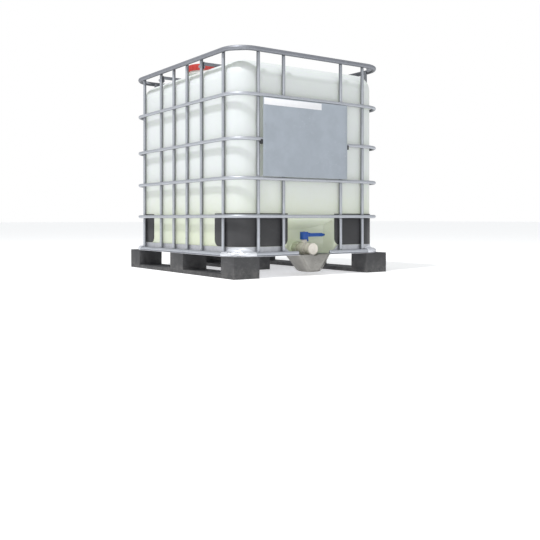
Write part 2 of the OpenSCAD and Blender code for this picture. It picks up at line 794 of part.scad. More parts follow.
module valve_gasket() {
    color([0.1, 0.1, 0.1]) outlet_ring(flange_y + flange_depth, gasket_depth, neck_r - 1, neck_r - 5);
}
module outlet_nut() {
    nut_front = flange_y - nut_lip;
    nut_depth = 34;
    grips = 8;
    color([0.16, 0.16, 0.17]) difference() {
        union() {
            outlet_rod(nut_front, nut_depth, nut_r - 2.5);
            for (i = [0:grips - 1]) translate([0, nut_front, outlet_z]) rotate([0, i * 360 / grips, 0])
                translate([-5, 0, nut_r - 6]) cube([10, nut_depth, 6]);
        }
        outlet_rod(nut_front - 1, nut_depth + 2, outlet_r);
        outlet_rod(flange_y, nut_depth, neck_r + turn_gap);
    }
}
module valve_body() {
    color([0.85, 0.82, 0.76]) difference() {
        union() {
            outlet_rod(stem_y - body_half, 2 * body_half, body_r - 3);
            translate([0, stem_y, outlet_z]) sphere(r = body_r);
            outlet_rod(stem_y + body_half - 1, flange_y - stem_y - body_half + 2, outlet_r - 0.5);
            outlet_rod(flange_y, flange_depth, flange_r);
            outlet_rod(outlet_end_y, stem_y - body_half - outlet_end_y + 1, outlet_r);
            translate([0, stem_y, outlet_z]) cylinder(h = hub_z - outlet_z - 1, r = bonnet_r);
        }
        outlet_rod(outlet_end_y - 1, 200, bore_r);
        outlet_rod(stem_y - seat_y - seat_depth, 2 * (seat_y + seat_depth), seat_r);
        translate([0, stem_y, outlet_z]) {
            sphere(r = ball_r + turn_gap);
            cylinder(h = 100, r = stem_r + stem_gap);
        }
    }
}
module ball_seats() {
    color([0.93, 0.93, 0.91]) difference() {
        for (y = [stem_y + seat_y, stem_y - seat_y - seat_depth])
            outlet_ring(y, seat_depth, seat_r, bore_r);
        translate([0, stem_y, outlet_z]) sphere(r = ball_r + turn_gap);
    }
}
slot_width = 8;
slot_depth = 7;
module valve_ball() {
    color([0.9, 0.9, 0.92]) difference() {
        translate([0, stem_y, outlet_z]) sphere(r = ball_r);
        // The lever lies across when the valve is shut, so the bore lies across too
        translate([0, stem_y, outlet_z]) rotate([0, 90, 0])
            cylinder(h = 2 * ball_d, r = bore_r, center = true);
        translate([-ball_d, stem_y - slot_width / 2, outlet_z + ball_r - slot_depth])
            cube([2 * ball_d, slot_width, slot_depth + 1]);
    }
}
seal_zs = [8, 14];
seal_r = 1;
module valve_stem() {
    tang_z = outlet_z + ball_r - slot_depth;
    color([0.75, 0.75, 0.77]) difference() {
        union() {
            translate([0, stem_y, outlet_z + ball_r])
                cylinder(h = hub_z + hub_height - 10 - outlet_z - ball_r, r = stem_r);
            intersection() {
                translate([0, stem_y, tang_z]) cylinder(h = slot_depth + 2, r = stem_r);
                translate([-ball_d, stem_y - slot_width / 2 + stem_gap, tang_z + stem_gap])
                    cube([2 * ball_d, slot_width - 2 * stem_gap, slot_depth + 2]);
            }
        }
        for (z = seal_zs) translate([0, stem_y, outlet_z + ball_r + z]) difference() {
            cylinder(h = 2 * seal_r + 0.1, r = stem_r + 1);
            translate([0, 0, -1]) cylinder(h = 5, r = stem_r - 2 * seal_r + stem_gap);
        }
        translate([0, stem_y, handle_screw_z - 24]) cylinder(h = 30, r = 2.5);
    }
}
module stem_seals() {
    color([0.08, 0.08, 0.08]) for (z = seal_zs)
        translate([0, stem_y, outlet_z + ball_r + z + seal_r + 0.05])
            rotate_extrude() translate([stem_r - seal_r + stem_gap / 2, 0]) circle(r = seal_r - stem_gap);
}
module valve_handle() {
    tip_r = 6;
    tip_x = lever_length - tip_r;
    lug_r = bonnet_r + 5;
    color([0.12, 0.32, 0.68]) difference() {
        union() {
            translate([0, stem_y, hub_z]) cylinder(h = hub_height, r = hub_d / 2);
            // Tapered lever with a round tip
            translate([0, stem_y, lever_z]) intersection() {
                linear_extrude(lever_depth) {
                    polygon([[0, -12], [tip_x, -tip_r], [tip_x, tip_r], [0, 12]]);
                    translate([tip_x, 0]) circle(r = tip_r);
                }
                rotate([90, 0, 0]) linear_extrude(3 * lever_depth, center = true)
                    polygon([[-1, 0], [lever_length - 24, 0], [lever_length, 7], [lever_length, 12],
                             [lever_length - 24, lever_depth - 3], [40, lever_depth - 3],
                             [20, lever_depth], [-1, lever_depth]]);
            }
            // Stop lug under the hub
            translate([0, stem_y, hub_z - 10]) rotate([0, 0, -45])
                translate([lug_r - 3, -5, 0]) cube([6, 10, 12]);
        }
        translate([0, stem_y, hub_z - 1]) cylinder(h = hub_height - 9, r = stem_r);
        translate([0, stem_y, hub_z]) cylinder(h = hub_height + 1, r = 2.5);
    }
}
module handle_screw() {
    color([0.75, 0.75, 0.77]) translate([0, stem_y, handle_screw_z]) difference() {
        pan_screw(22, 2.5, 6, 3);
        translate([-7, -0.6, 1.5]) cube([14, 1.2, 2]);
    }
}
module outlet_cap() {
    cap_depth = 34;
    cap_front = outlet_end_y - gasket_depth - cap_wall;
    grips = 20;
    color([0.86, 0.83, 0.78]) difference() {
        union() {
            outlet_rod(cap_front, cap_depth, cap_d / 2 - 1.5);
            for (i = [0:grips - 1])
                translate([0, cap_front + 3, outlet_z]) rotate([0, (i + 0.5) * 360 / grips, 0])
                    translate([-2, 0, cap_d / 2 - 4]) cube([4, cap_depth - 6, 4]);
        }
        outlet_rod(cap_front + cap_wall, cap_depth, outlet_r + turn_gap + 0.2);
        outlet_ring(cap_front - 1, 2.5, cap_d / 2 - 8, 7);
    }
}
module cap_gasket() {
    color([0.1, 0.1, 0.1]) outlet_ring(outlet_end_y - gasket_depth, gasket_depth, outlet_r, bore_r);
}

skid_left();
skid_centre();
skid_right();
corner_feet();
side_feet();
centre_feet();
skid_screws();
base_pan();
pan_corner_plates();
pan_bolts();
valve_well();
well_rivets();
top_rim();
hoop_upper();
hoop_middle();
hoop_lower();
hoop_base();
bottom_rim();
rim_plugs();
rim_screws();
uprights_front();
uprights_rear();
uprights_left();
uprights_right();
corner_gussets();
top_bar_front();
top_bar_rear();
top_bar_bolts();
top_bar_nuts();
label_plate();
label_clips();
label_rivets();
label_strip();
bottle();
guard_front_left();
guard_front_right();
guard_rear_left();
guard_rear_right();
lid();
lid_gasket();
outlet_nut();
valve_gasket();
valve_body();
ball_seats();
valve_ball();
valve_stem();
stem_seals();
valve_handle();
handle_screw();
outlet_cap();
cap_gasket();
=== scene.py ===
"""Looks of a caged intermediate bulk container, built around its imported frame."""

import math
from itertools import product

import bmesh
import bpy
from bmesh.types import BMEdge, BMFace, BMVert
from bpy.props import FloatProperty, FloatVectorProperty, IntProperty, PointerProperty
from mathutils import Matrix, Vector, noise


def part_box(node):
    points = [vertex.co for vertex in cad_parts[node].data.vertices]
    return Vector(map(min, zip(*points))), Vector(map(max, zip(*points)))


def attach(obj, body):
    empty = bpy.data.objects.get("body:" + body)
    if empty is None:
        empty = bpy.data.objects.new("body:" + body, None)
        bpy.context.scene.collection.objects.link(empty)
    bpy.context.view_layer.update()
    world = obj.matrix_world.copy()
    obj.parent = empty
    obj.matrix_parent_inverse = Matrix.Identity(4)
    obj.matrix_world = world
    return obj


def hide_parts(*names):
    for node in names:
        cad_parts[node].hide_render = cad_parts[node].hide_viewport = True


bl_info = {
    "name": "Bulk Container Looks",
    "version": (1, 0, 0),
    "blender": (4, 5, 0),
    "location": "3D View > Sidebar > Container",
    "description": "Builds the bottle, cage, pallet and valve of a bulk container around its frame",
    "category": "Object",
}

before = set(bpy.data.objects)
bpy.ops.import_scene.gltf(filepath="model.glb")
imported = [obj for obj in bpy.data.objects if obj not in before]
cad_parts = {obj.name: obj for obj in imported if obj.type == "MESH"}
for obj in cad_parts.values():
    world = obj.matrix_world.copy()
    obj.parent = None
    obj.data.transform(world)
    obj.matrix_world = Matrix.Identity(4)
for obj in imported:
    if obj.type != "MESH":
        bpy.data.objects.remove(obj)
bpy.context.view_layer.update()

MM = 0.001
QUARTER = math.pi / 2
# Edges that turn by more than this are sharp
SHARP = math.radians(32)
# Points closer than this are the same
SAME = 1e-6
X_AXIS = Vector((1, 0, 0))
Y_AXIS = Vector((0, 1, 0))
Z_AXIS = Vector((0, 0, 1))

# Places of the uprights from the middle, as in the frame
FRONT_UPRIGHTS = (-0.344, -0.189, 0.189, 0.344)
SIDE_UPRIGHTS = (-0.457, -0.235, -0.077, 0.077, 0.235, 0.457)
HOOPS = ("hoop_base", "hoop_lower", "hoop_middle", "hoop_upper")

# Finishes by name, filled when the first piece asks for one
FINISHES = {}
# Shader node groups that the finishes share, by name
GROUPS = {}


# ---------------------------------------------------------------- properties


class ContainerSizes(bpy.types.PropertyGroup):
    """Sizes that shape the details"""

    cage_corner: FloatProperty(
        name="Cage corner radius", description="Radius of the hoops' corners at the tube's centreline",
        default=0.12, unit="LENGTH")
    tube_sides: IntProperty(
        name="Tube sides", description="Faces round a cage tube", default=24, min=8, max=48)
    dent_length: FloatProperty(
        name="Dent length", description="Half length of the flattened stretch at a crossing",
        default=0.017, unit="LENGTH")
    hoop_dent: FloatProperty(
        name="Hoop dent", description="How far a hoop's outside is pressed flat at a crossing",
        default=0.0022, unit="LENGTH")
    saddle: FloatProperty(
        name="Saddle depth", description="How far a hoop presses into an upright",
        default=0.0042, unit="LENGTH")
    bottle_corner: FloatProperty(
        name="Bottle corner radius", description="Radius of the bottle's upright corners",
        default=0.094, unit="LENGTH")
    bottle_shoulder: FloatProperty(
        name="Bottle shoulder radius", description="Radius round the bottle's top",
        default=0.086, unit="LENGTH")
    bottle_foot: FloatProperty(
        name="Bottle foot radius", description="Radius round the bottle's bottom",
        default=0.062, unit="LENGTH")
    bottle_grid: FloatProperty(
        name="Bottle grid", description="Spacing of the bottle's mesh", default=0.022, unit="LENGTH")
    bulge: FloatProperty(
        name="Panel bulge", description="How far the bottle's wall swells between two hoops",
        default=0.0028, unit="LENGTH")
    well_corner: FloatProperty(
        name="Well corner", description="Radius of the valve well's pressed corners",
        default=0.020, unit="LENGTH")
    well_lip: FloatProperty(
        name="Well lip", description="Radius of the rolled edge round the well's front",
        default=0.0018, unit="LENGTH")
    plate_wave: FloatProperty(
        name="Label plate wave", description="How far the label plate is bent out of flat",
        default=0.0012, unit="LENGTH")
    crumple: FloatProperty(
        name="Corner plate crumple", description="Depth of the dents in the pan's corner plates",
        default=0.0030, unit="LENGTH")
    foot_round: FloatProperty(
        name="Foot edge", description="Radius of the pallet feet's upright edges",
        default=0.005, unit="LENGTH")


class ContainerColours(bpy.types.PropertyGroup):
    """Base colours of the finishes"""

    bottle: FloatVectorProperty(
        name="Bottle", description="Translucent polyethylene", subtype="COLOR",
        default=(0.56, 0.58, 0.61), min=0, max=1)
    # Painted bounce light: the greenish tone painted into the bottle's lower part
    bottle_bounce_tint: FloatVectorProperty(
        name="Bottle, lower part", description="Greener tone towards the bottom", subtype="COLOR",
        default=(0.51, 0.55, 0.36), min=0, max=1)
    zinc: FloatVectorProperty(
        name="Cage zinc", description="Galvanised tube", subtype="COLOR",
        default=(0.46, 0.48, 0.52), min=0, max=1)
    # Painted shade: the cage zinc made darker for the top rim, bars, gussets and welds, standing in for
    # the upper tubes' dark reflections
    rim: FloatVectorProperty(
        name="Top rim", description="Darker galvanised tube", subtype="COLOR",
        default=(0.26, 0.27, 0.30), min=0, max=1)
    pan: FloatVectorProperty(
        name="Pan", description="Bright galvanised sheet", subtype="COLOR",
        default=(0.68, 0.69, 0.73), min=0, max=1)
    well: FloatVectorProperty(
        name="Valve well", description="Dull galvanised sheet", subtype="COLOR",
        default=(0.33, 0.32, 0.30), min=0, max=1)
    pallet: FloatVectorProperty(
        name="Pallet", description="Recycled dark plastic", subtype="COLOR",
        default=(0.05, 0.05, 0.053), min=0, max=1)
    guard: FloatVectorProperty(
        name="Corner guard", description="Black plastic", subtype="COLOR",
        default=(0.035, 0.035, 0.038), min=0, max=1)
    label: FloatVectorProperty(
        name="Label plate", description="Coated sheet steel", subtype="COLOR",
        default=(0.36, 0.40, 0.45), min=0, max=1)
    paper: FloatVectorProperty(
        name="Label strip", description="White paper", subtype="COLOR",
        default=(0.85, 0.85, 0.87), min=0, max=1)
    lid: FloatVectorProperty(
        name="Lid", description="Red plastic", subtype="COLOR",
        default=(0.50, 0.05, 0.04), min=0, max=1)
    handle: FloatVectorProperty(
        name="Lever", description="Blue plastic", subtype="COLOR",
        default=(0.012, 0.085, 0.40), min=0, max=1)
    valve: FloatVectorProperty(
        name="Valve", description="Cream plastic", subtype="COLOR",
        default=(0.84, 0.79, 0.71), min=0, max=1)
    black: FloatVectorProperty(
        name="Black parts", description="Union nut, hooks and seals", subtype="COLOR",
        default=(0.03, 0.03, 0.033), min=0, max=1)
    plates: FloatVectorProperty(
        name="Corner plates", description="Bright galvanised sheet", subtype="COLOR",
        default=(0.88, 0.90, 0.96), min=0, max=1)
    nut: FloatVectorProperty(
        name="Union nut", description="Milky plastic", subtype="COLOR",
        default=(0.72, 0.74, 0.60), min=0, max=1)
    floor: FloatVectorProperty(
        name="Floor", description="Pale floor and backdrop", subtype="COLOR",
        default=(0.88, 0.88, 0.88), min=0, max=1)


def sizes():
    return bpy.context.scene.container_sizes


def colours():
    return bpy.context.scene.container_colours


# ---------------------------------------------------------------- mesh helpers


def shade_by_angle(bm):
    """Smooth faces, apart from the sharp edges between them."""
    for face in bm.faces:
        face.smooth = True
    for edge in bm.edges:
        if len(edge.link_faces) == 2:
            edge.smooth = edge.calc_face_angle(0) < SHARP


def finish_piece(name, bm, slot, body="root", replaces=(), finish=None):
    """Turns a bmesh into a piece that rides on a body and stands for CAD nodes."""
    shade_by_angle(bm)
    mesh = bpy.data.meshes.new(name)
    bm.to_mesh(mesh)
    bm.free()
    mesh.materials.append(material(finish or slot))
    piece = bpy.data.objects.new(name, mesh)
    bpy.context.scene.collection.objects.link(piece)
    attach(piece, body)
    if replaces:
        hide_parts(*replaces)
    return piece


def only(geom, kind):
    """The vertices, edges or faces in an operator's result."""
    return [g for g in geom if isinstance(g, kind)]


def level_edges(bm, height, slack=SAME):
    return [e for e in bm.edges if all(abs(v.co.z - height) < slack for v in e.verts)]


def bevel_edges(bm, edges, width, segments=2):
    bmesh.ops.bevel(
        bm, geom=list(edges), offset=width, offset_type="OFFSET", segments=segments, profile=0.5,
        affect="EDGES", clamp_overlap=True, material=-1, loop_slide=True)


def sharp_edges(bm, limit=SHARP):
    return [e for e in bm.edges if len(e.link_faces) == 2 and e.calc_face_angle(0) > limit]


def add_block(bm, low, high, width=0.0):
    """Block between two corners, with its edges rounded."""
    low, high = Vector(low), Vector(high)
    made = bmesh.ops.create_cube(bm, size=1)["verts"]
    bmesh.ops.scale(bm, vec=high - low, verts=made)
    bmesh.ops.translate(bm, vec=(low + high) / 2, verts=made)
    if width:
        edges = {e for v in made for e in v.link_edges}
        bevel_edges(bm, edges, width)


def add_lathe(bm, profile, steps, place):
    """Spins (radius, height) points about Z and puts the result at a place."""
    verts = [bm.verts.new((r, 0, h)) for r, h in profile]
    edges = [bm.edges.new(pair) for pair in zip(verts, verts[1:])]
    bmesh.ops.spin(
        bm, geom=verts + edges, cent=(0, 0, 0), axis=(0, 0, 1), dvec=(0, 0, 0), angle=2 * math.pi,
        steps=steps, use_merge=True, use_duplicate=False)
    reached = set(verts)
    waiting = list(verts)
    while waiting:
        for edge in waiting.pop().link_edges:
            for v in edge.verts:
                if v not in reached:
                    reached.add(v)
                    waiting.append(v)
    bmesh.ops.transform(bm, matrix=place, verts=list(reached))
    bmesh.ops.remove_doubles(bm, verts=list(reached), dist=SAME)


def add_bead(bm, path, radius):
    """Sweeps a round bead along a path."""
    loops = []
    for i, at in enumerate(path):
        along = (path[min(i + 1, len(path) - 1)] - path[max(i - 1, 0)]).normalized()
        turn = Z_AXIS.rotation_difference(along).to_matrix().to_4x4()
        made = bmesh.ops.create_circle(
            bm, cap_ends=i in (0, len(path) - 1), segments=10, radius=radius,
            matrix=Matrix.Translation(at) @ turn)
        loops.append({e for v in made["verts"] for e in v.link_edges})
    for before, after in zip(loops, loops[1:]):
        bmesh.ops.bridge_loops(bm, edges=list(before | after))


def cut_grid(bm, axis, places):
    """Cuts the whole mesh across an axis at each place."""
    normal = (X_AXIS, Y_AXIS, Z_AXIS)[axis]
    for place in places:
        bmesh.ops.bisect_plane(
            bm, geom=bm.verts[:] + bm.edges[:] + bm.faces[:], dist=1e-5, plane_co=normal * place,
            plane_no=normal)


def spread(low, high, spacing):
    """Even places between two ends, which are left out."""
    count = max(1, round((high - low) / spacing))
    return [low + (high - low) * i / count for i in range(1, count)]


def open_round_hole(bm, centre, radius, lowest):
    """Opens a round hole, seen along Z, in the faces above a height."""
    sides = 48

    def upper_faces():
        return [f for f in bm.faces if all(v.co.z > lowest for v in f.verts)
                and (f.calc_center_median().xy - centre.xy).length < 3 * radius]

    for i in range(sides):
        out = Matrix.Rotation(4 * QUARTER * i / sides, 3, "Z") @ X_AXIS
        faces = upper_faces()
        edges = {e for f in faces for e in f.edges}
        verts = {v for f in faces for v in f.verts}
        bmesh.ops.bisect_plane(
            bm, geom=faces + list(edges) + list(verts), dist=1e-5, plane_co=centre + out * radius,
            plane_no=out)
    reach = 1.01 * radius
    inside = [f for f in upper_faces() if all((v.co.xy - centre.xy).length < reach for v in f.verts)]
    bmesh.ops.delete(bm, geom=inside, context="FACES")


def frame_copy(node):
    """Joined-up copy of a CAD node's mesh, with its flat faces whole again."""
    bm = bmesh.new()
    bm.from_mesh(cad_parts[node].data)
    bmesh.ops.remove_doubles(bm, verts=bm.verts, dist=2e-6)
    bmesh.ops.dissolve_degenerate(bm, edges=bm.edges, dist=SAME)
    flat = math.radians(0.6)
    bmesh.ops.dissolve_limit(
        bm, angle_limit=flat, verts=bm.verts, edges=bm.edges, use_dissolve_boundaries=False)
    return bm


def rounded_copy(name, node, width, slot, body="root", segments=2, finish=None):
    """CAD node with its sharp edges rounded."""
    bm = frame_copy(node)
    bevel_edges(bm, sharp_edges(bm), width, segments)
    bmesh.ops.triangulate(bm, faces=[f for f in bm.faces if len(f.verts) > 4])
    return finish_piece(name, bm, slot, body, (node,), finish)


# ---------------------------------------------------------------- cage tubes


def ease(t):
    """1 at t = 0, falling smoothly to 0 at t = 1."""
    t = min(abs(t), 1)
    return 1 - t * t * (3 - 2 * t)


def stations(start, end, crossings, reach):
    """Places for a tube's cross-sections: its ends, and a close row at each crossing."""
    offsets = [i * reach / 4 for i in range(-4, 5)]
    places = [c + o for c in crossings for o in offsets]
    return sorted(p for p in places if start < p < end) + [end]


def extrude_to(bm, edges, vector):
    made = bmesh.ops.extrude_edge_only(bm, edges=edges)["geom"]
    bmesh.ops.translate(bm, vec=vector, verts=only(made, BMVert))
    return only(made, BMEdge)


def turn_corner(bm, edges, centre):
    verts = list({v for e in edges for v in e.verts})
    made = bmesh.ops.spin(
        bm, geom=verts + list(edges), cent=centre, axis=(0, 0, 1), dvec=(0, 0, 0), angle=QUARTER,
        steps=9, use_merge=False, use_duplicate=False)["geom_last"]
    return only(made, BMEdge)


def ring_size(node):
    """Tube radius, centreline half sizes and height of a ring in the frame."""
    low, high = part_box(node)
    radius = (high.z - low.z) / 2
    return radius, high.x - radius, high.y - radius, (high.z + low.z) / 2


def mark_crest(bm, stand_out):
    """Stores how far each vertex stands out from its tube's middle: 1 at the outer crest, -1 inside."""
    # The tube finishes paint shade on the flanks from this value
    layer = bm.verts.layers.float.new("crest")
    for v in bm.verts:
        v[layer] = stand_out(v.co)


def ring_crest(bm, radius, half_x, half_y, corner):
    """Crest of a ring: the distance out from the rectangle that its corners turn about."""
    def stand_out(co):
        out_x = max(0, abs(co.x) - (half_x - corner))
        out_y = max(0, abs(co.y) - (half_y - corner))
        return (math.hypot(out_x, out_y) - corner) / radius
    mark_crest(bm, stand_out)


def make_ring(node, size, open_half=0.0):
    """Closed tube ring, or one with a gap in the middle of its front."""
    radius, half_x, half_y, height = ring_size(node)
    corner = size.cage_corner
    run_x, run_y = half_x - corner, half_y - corner
    bm = bmesh.new()
    circle = bmesh.ops.create_circle(
        bm, cap_ends=bool(open_half), segments=size.tube_sides, radius=radius,
        matrix=Matrix.Translation((open_half, -half_y, height)) @ Matrix.Rotation(QUARTER, 4, "Y"))
    edges = list({e for v in circle["verts"] for e in v.link_edges})
    legs = [(X_AXIS, open_half, run_x, FRONT_UPRIGHTS), (Y_AXIS, -run_y, run_y, SIDE_UPRIGHTS),
            (-X_AXIS, -run_x, run_x, FRONT_UPRIGHTS), (-Y_AXIS, -run_y, run_y, SIDE_UPRIGHTS),
            (X_AXIS, -run_x, -open_half, FRONT_UPRIGHTS)]
    centres = [(x * run_x, y * run_y, height) for x, y in ((1, -1), (1, 1), (-1, 1), (-1, -1))]
    for index, (direction, start, end, crossings) in enumerate(legs):
        at = start
        for place in stations(start, end, crossings, size.dent_length):
            edges = extrude_to(bm, edges, direction * (place - at))
            at = place
        if index < len(centres):
            edges = turn_corner(bm, edges, centres[index])
    if open_half:
        bmesh.ops.contextual_create(bm, geom=edges)
    bmesh.ops.remove_doubles(bm, verts=bm.verts, dist=SAME)
    bmesh.ops.recalc_face_normals(bm, faces=bm.faces)
    ring_crest(bm, radius, half_x, half_y, corner)
    return bm


def dent_ring(bm, node, size):
    """Presses the ring's outside flat where it crosses the uprights."""
    radius, half_x, half_y, _ = ring_size(node)
    reach = size.dent_length
    walls = ((1, 0, half_y, FRONT_UPRIGHTS), (0, 1, half_x, SIDE_UPRIGHTS))
    for v in bm.verts:
        at = v.co.copy()
        for across, along, half, crossings in walls:
            near = min(abs(at[along] - c) for c in crossings)
            out = abs(at[across]) - half
            if near < reach and 0 < out < 1.5 * radius:
                press = size.hoop_dent * ease(near / reach) * out / radius
                v.co[across] -= math.copysign(press, at[across])


def make_upright(bm, foot, outward, radius, top, crossings, size):
    """Upright tube with a pressed saddle at each ring. outward points to the rings."""
    reach = size.dent_length
    circle = bmesh.ops.create_circle(
        bm, cap_ends=True, segments=size.tube_sides, radius=radius, matrix=Matrix.Translation(foot))
    verts = list(circle["verts"])
    edges = list({e for v in verts for e in v.link_edges})
    at = foot.z
    for place in stations(foot.z + 1e-4, top, [c for c, _ in crossings], reach):
        edges = extrude_to(bm, edges, Z_AXIS * (place - at))
        verts += {v for e in edges for v in e.verts}
        at = place
    bmesh.ops.contextual_create(bm, geom=edges)
    side = outward.cross(Z_AXIS)
    for v in verts:
        out = (v.co - foot).dot(outward)
        for height, depth in crossings:
            near = abs(v.co.z - height)
            if near < reach:
                press = ease(near / reach)
                if out > 0:
                    v.co -= outward * depth * press * min(1, out / (0.55 * radius))
                v.co += side * side.dot(v.co - foot) * 0.1 * press


# ---------------------------------------------------------------- materials


def new_group(name, inputs, outputs):
    """Empty shader node group with named float and vector sockets."""
    tree = bpy.data.node_groups.new(name, "ShaderNodeTree")
    for label, kind, value in inputs:
        socket = tree.interface.new_socket(label, in_out="INPUT", socket_type=kind)
        if value is not None:
            socket.default_value = value
    for label, kind in outputs:
        tree.interface.new_socket(label, in_out="OUTPUT", socket_type=kind)
    return tree, tree.nodes.new("NodeGroupInput"), tree.nodes.new("NodeGroupOutput")


def noise_node(tree, vector, scale, detail, roughness=0.55):
    node = tree.nodes.new("ShaderNodeTexNoise")
    node.inputs["Detail"].default_value = detail
    node.inputs["Roughness"].default_value = roughness
    tree.links.new(vector, node.inputs["Vector"])
    if isinstance(scale, (int, float)):
        node.inputs["Scale"].default_value = scale
    else:
        tree.links.new(scale, node.inputs["Scale"])
    return node


def map_node(tree, value, low, high, to_low=0.0, to_high=1.0):
    """Maps a value from one range to another, smoothly and clamped."""
    node = tree.nodes.new("ShaderNodeMapRange")
    node.interpolation_type = "SMOOTHSTEP"
    tree.links.new(value, node.inputs["Value"])
    for label, number in (("From Min", low), ("From Max", high), ("To Min", to_low), ("To Max", to_high)):
        if isinstance(number, (int, float)):
            node.inputs[label].default_value = number
        else:
            tree.links.new(number, node.inputs[label])
    return node.outputs["Result"]


def math_node(tree, operation, first, second):
    node = tree.nodes.new("ShaderNodeMath")
    node.operation = operation
    for socket, value in zip(node.inputs, (first, second)):
        if isinstance(value, (int, float)):
            socket.default_value = value
        else:
            tree.links.new(value, socket)
    return node.outputs[0]


def mottle_group():
    """Uneven tone over a surface, from 0 to 1."""
    tree, given, result = new_group(
        "Mottle", [("Vector", "NodeSocketVector", None), ("Scale", "NodeSocketFloat", 8.0)],
        [("Value", "NodeSocketFloat")])
    cloud = noise_node(tree, given.outputs["Vector"], given.outputs["Scale"], 6, 0.62)
    tree.links.new(map_node(tree, cloud.outputs["Fac"], 0.3, 0.7), result.inputs["Value"])
    return tree


def spangle_group():
    """Zinc crystals: a tone for each crystal, softened by a fine cloud."""
    tree, given, result = new_group(
        "Spangle", [("Vector", "NodeSocketVector", None), ("Scale", "NodeSocketFloat", 90.0)],
        [("Value", "NodeSocketFloat"), ("Height", "NodeSocketFloat")])
    cells = tree.nodes.new("ShaderNodeTexVoronoi")
    cells.inputs["Randomness"].default_value = 1
    tree.links.new(given.outputs["Vector"], cells.inputs["Vector"])
    tree.links.new(given.outputs["Scale"], cells.inputs["Scale"])
    grey = tree.nodes.new("ShaderNodeSeparateColor")
    tree.links.new(cells.outputs["Color"], grey.inputs["Color"])
    cloud = noise_node(tree, given.outputs["Vector"], given.outputs["Scale"], 5)
    mixed = math_node(tree, "ADD", math_node(tree, "MULTIPLY", grey.outputs["Red"], 0.45),
                      math_node(tree, "MULTIPLY", cloud.outputs["Fac"], 0.55))
    tree.links.new(mixed, result.inputs["Value"])
    tree.links.new(cloud.outputs["Fac"], result.inputs["Height"])
    return tree


def scuff_group():
    """Thin worn marks that lie along one direction, from 0 to 1."""
    tree, given, result = new_group(
        "Scuffs", [("Vector", "NodeSocketVector", None), ("Scale", "NodeSocketFloat", 30.0),
                   ("Amount", "NodeSocketFloat", 0.5)], [("Mask", "NodeSocketFloat")])
    stretch = tree.nodes.new("ShaderNodeMapping")
    stretch.inputs["Rotation"].default_value = (0.5, 0.7, 0.3)
    stretch.inputs["Scale"].default_value = (1.0, 0.12, 2.2)
    tree.links.new(given.outputs["Vector"], stretch.inputs["Vector"])
    lines = noise_node(tree, stretch.outputs["Vector"], given.outputs["Scale"], 8, 0.7)
    patches = noise_node(tree, given.outputs["Vector"], 5.0, 3)
    lined = map_node(tree, lines.outputs["Fac"], 0.56, 0.66)
    patched = map_node(tree, patches.outputs["Fac"], 0.42, 0.62)
    both = math_node(tree, "MULTIPLY", lined, patched)
    tree.links.new(math_node(tree, "MULTIPLY", both, given.outputs["Amount"]), result.inputs["Mask"])
    return tree


def dust_group():
    """Mask that thins out with height, broken up by a cloud: dust on the pallet, painted bounce light on
    the bottle.
    """
    tree, given, result = new_group(
        "Dust_and_bounce", [("Vector", "NodeSocketVector", None), ("Low", "NodeSocketFloat", 0.0),
                 ("High", "NodeSocketFloat", 0.12)], [("Mask", "NodeSocketFloat")])
    parts = tree.nodes.new("ShaderNodeSeparateXYZ")
    tree.links.new(given.outputs["Vector"], parts.inputs["Vector"])
    rise = map_node(tree, parts.outputs["Z"], given.outputs["Low"], given.outputs["High"], 1.0, 0.0)
    cloud = noise_node(tree, given.outputs["Vector"], 26.0, 7, 0.65)
    tree.links.new(math_node(tree, "MULTIPLY", rise, map_node(tree, cloud.outputs["Fac"], 0.35, 0.7)),
                   result.inputs["Mask"])
    return tree


def grain_group():
    """Fine moulded grain, as a height."""
    tree, given, result = new_group(
        "Grain", [("Vector", "NodeSocketVector", None), ("Scale", "NodeSocketFloat", 900.0)],
        [("Height", "NodeSocketFloat")])
    fine = noise_node(tree, given.outputs["Vector"], given.outputs["Scale"], 3)
    tree.links.new(fine.outputs["Fac"], result.inputs["Height"])
    return tree


def material_groups():
    """The shared effects, made on first use."""
    if not GROUPS:
        GROUPS.update(mottle=mottle_group(), spangle=spangle_group(), scuffs=scuff_group(),
                      dust=dust_group(), grain=grain_group())
    return GROUPS


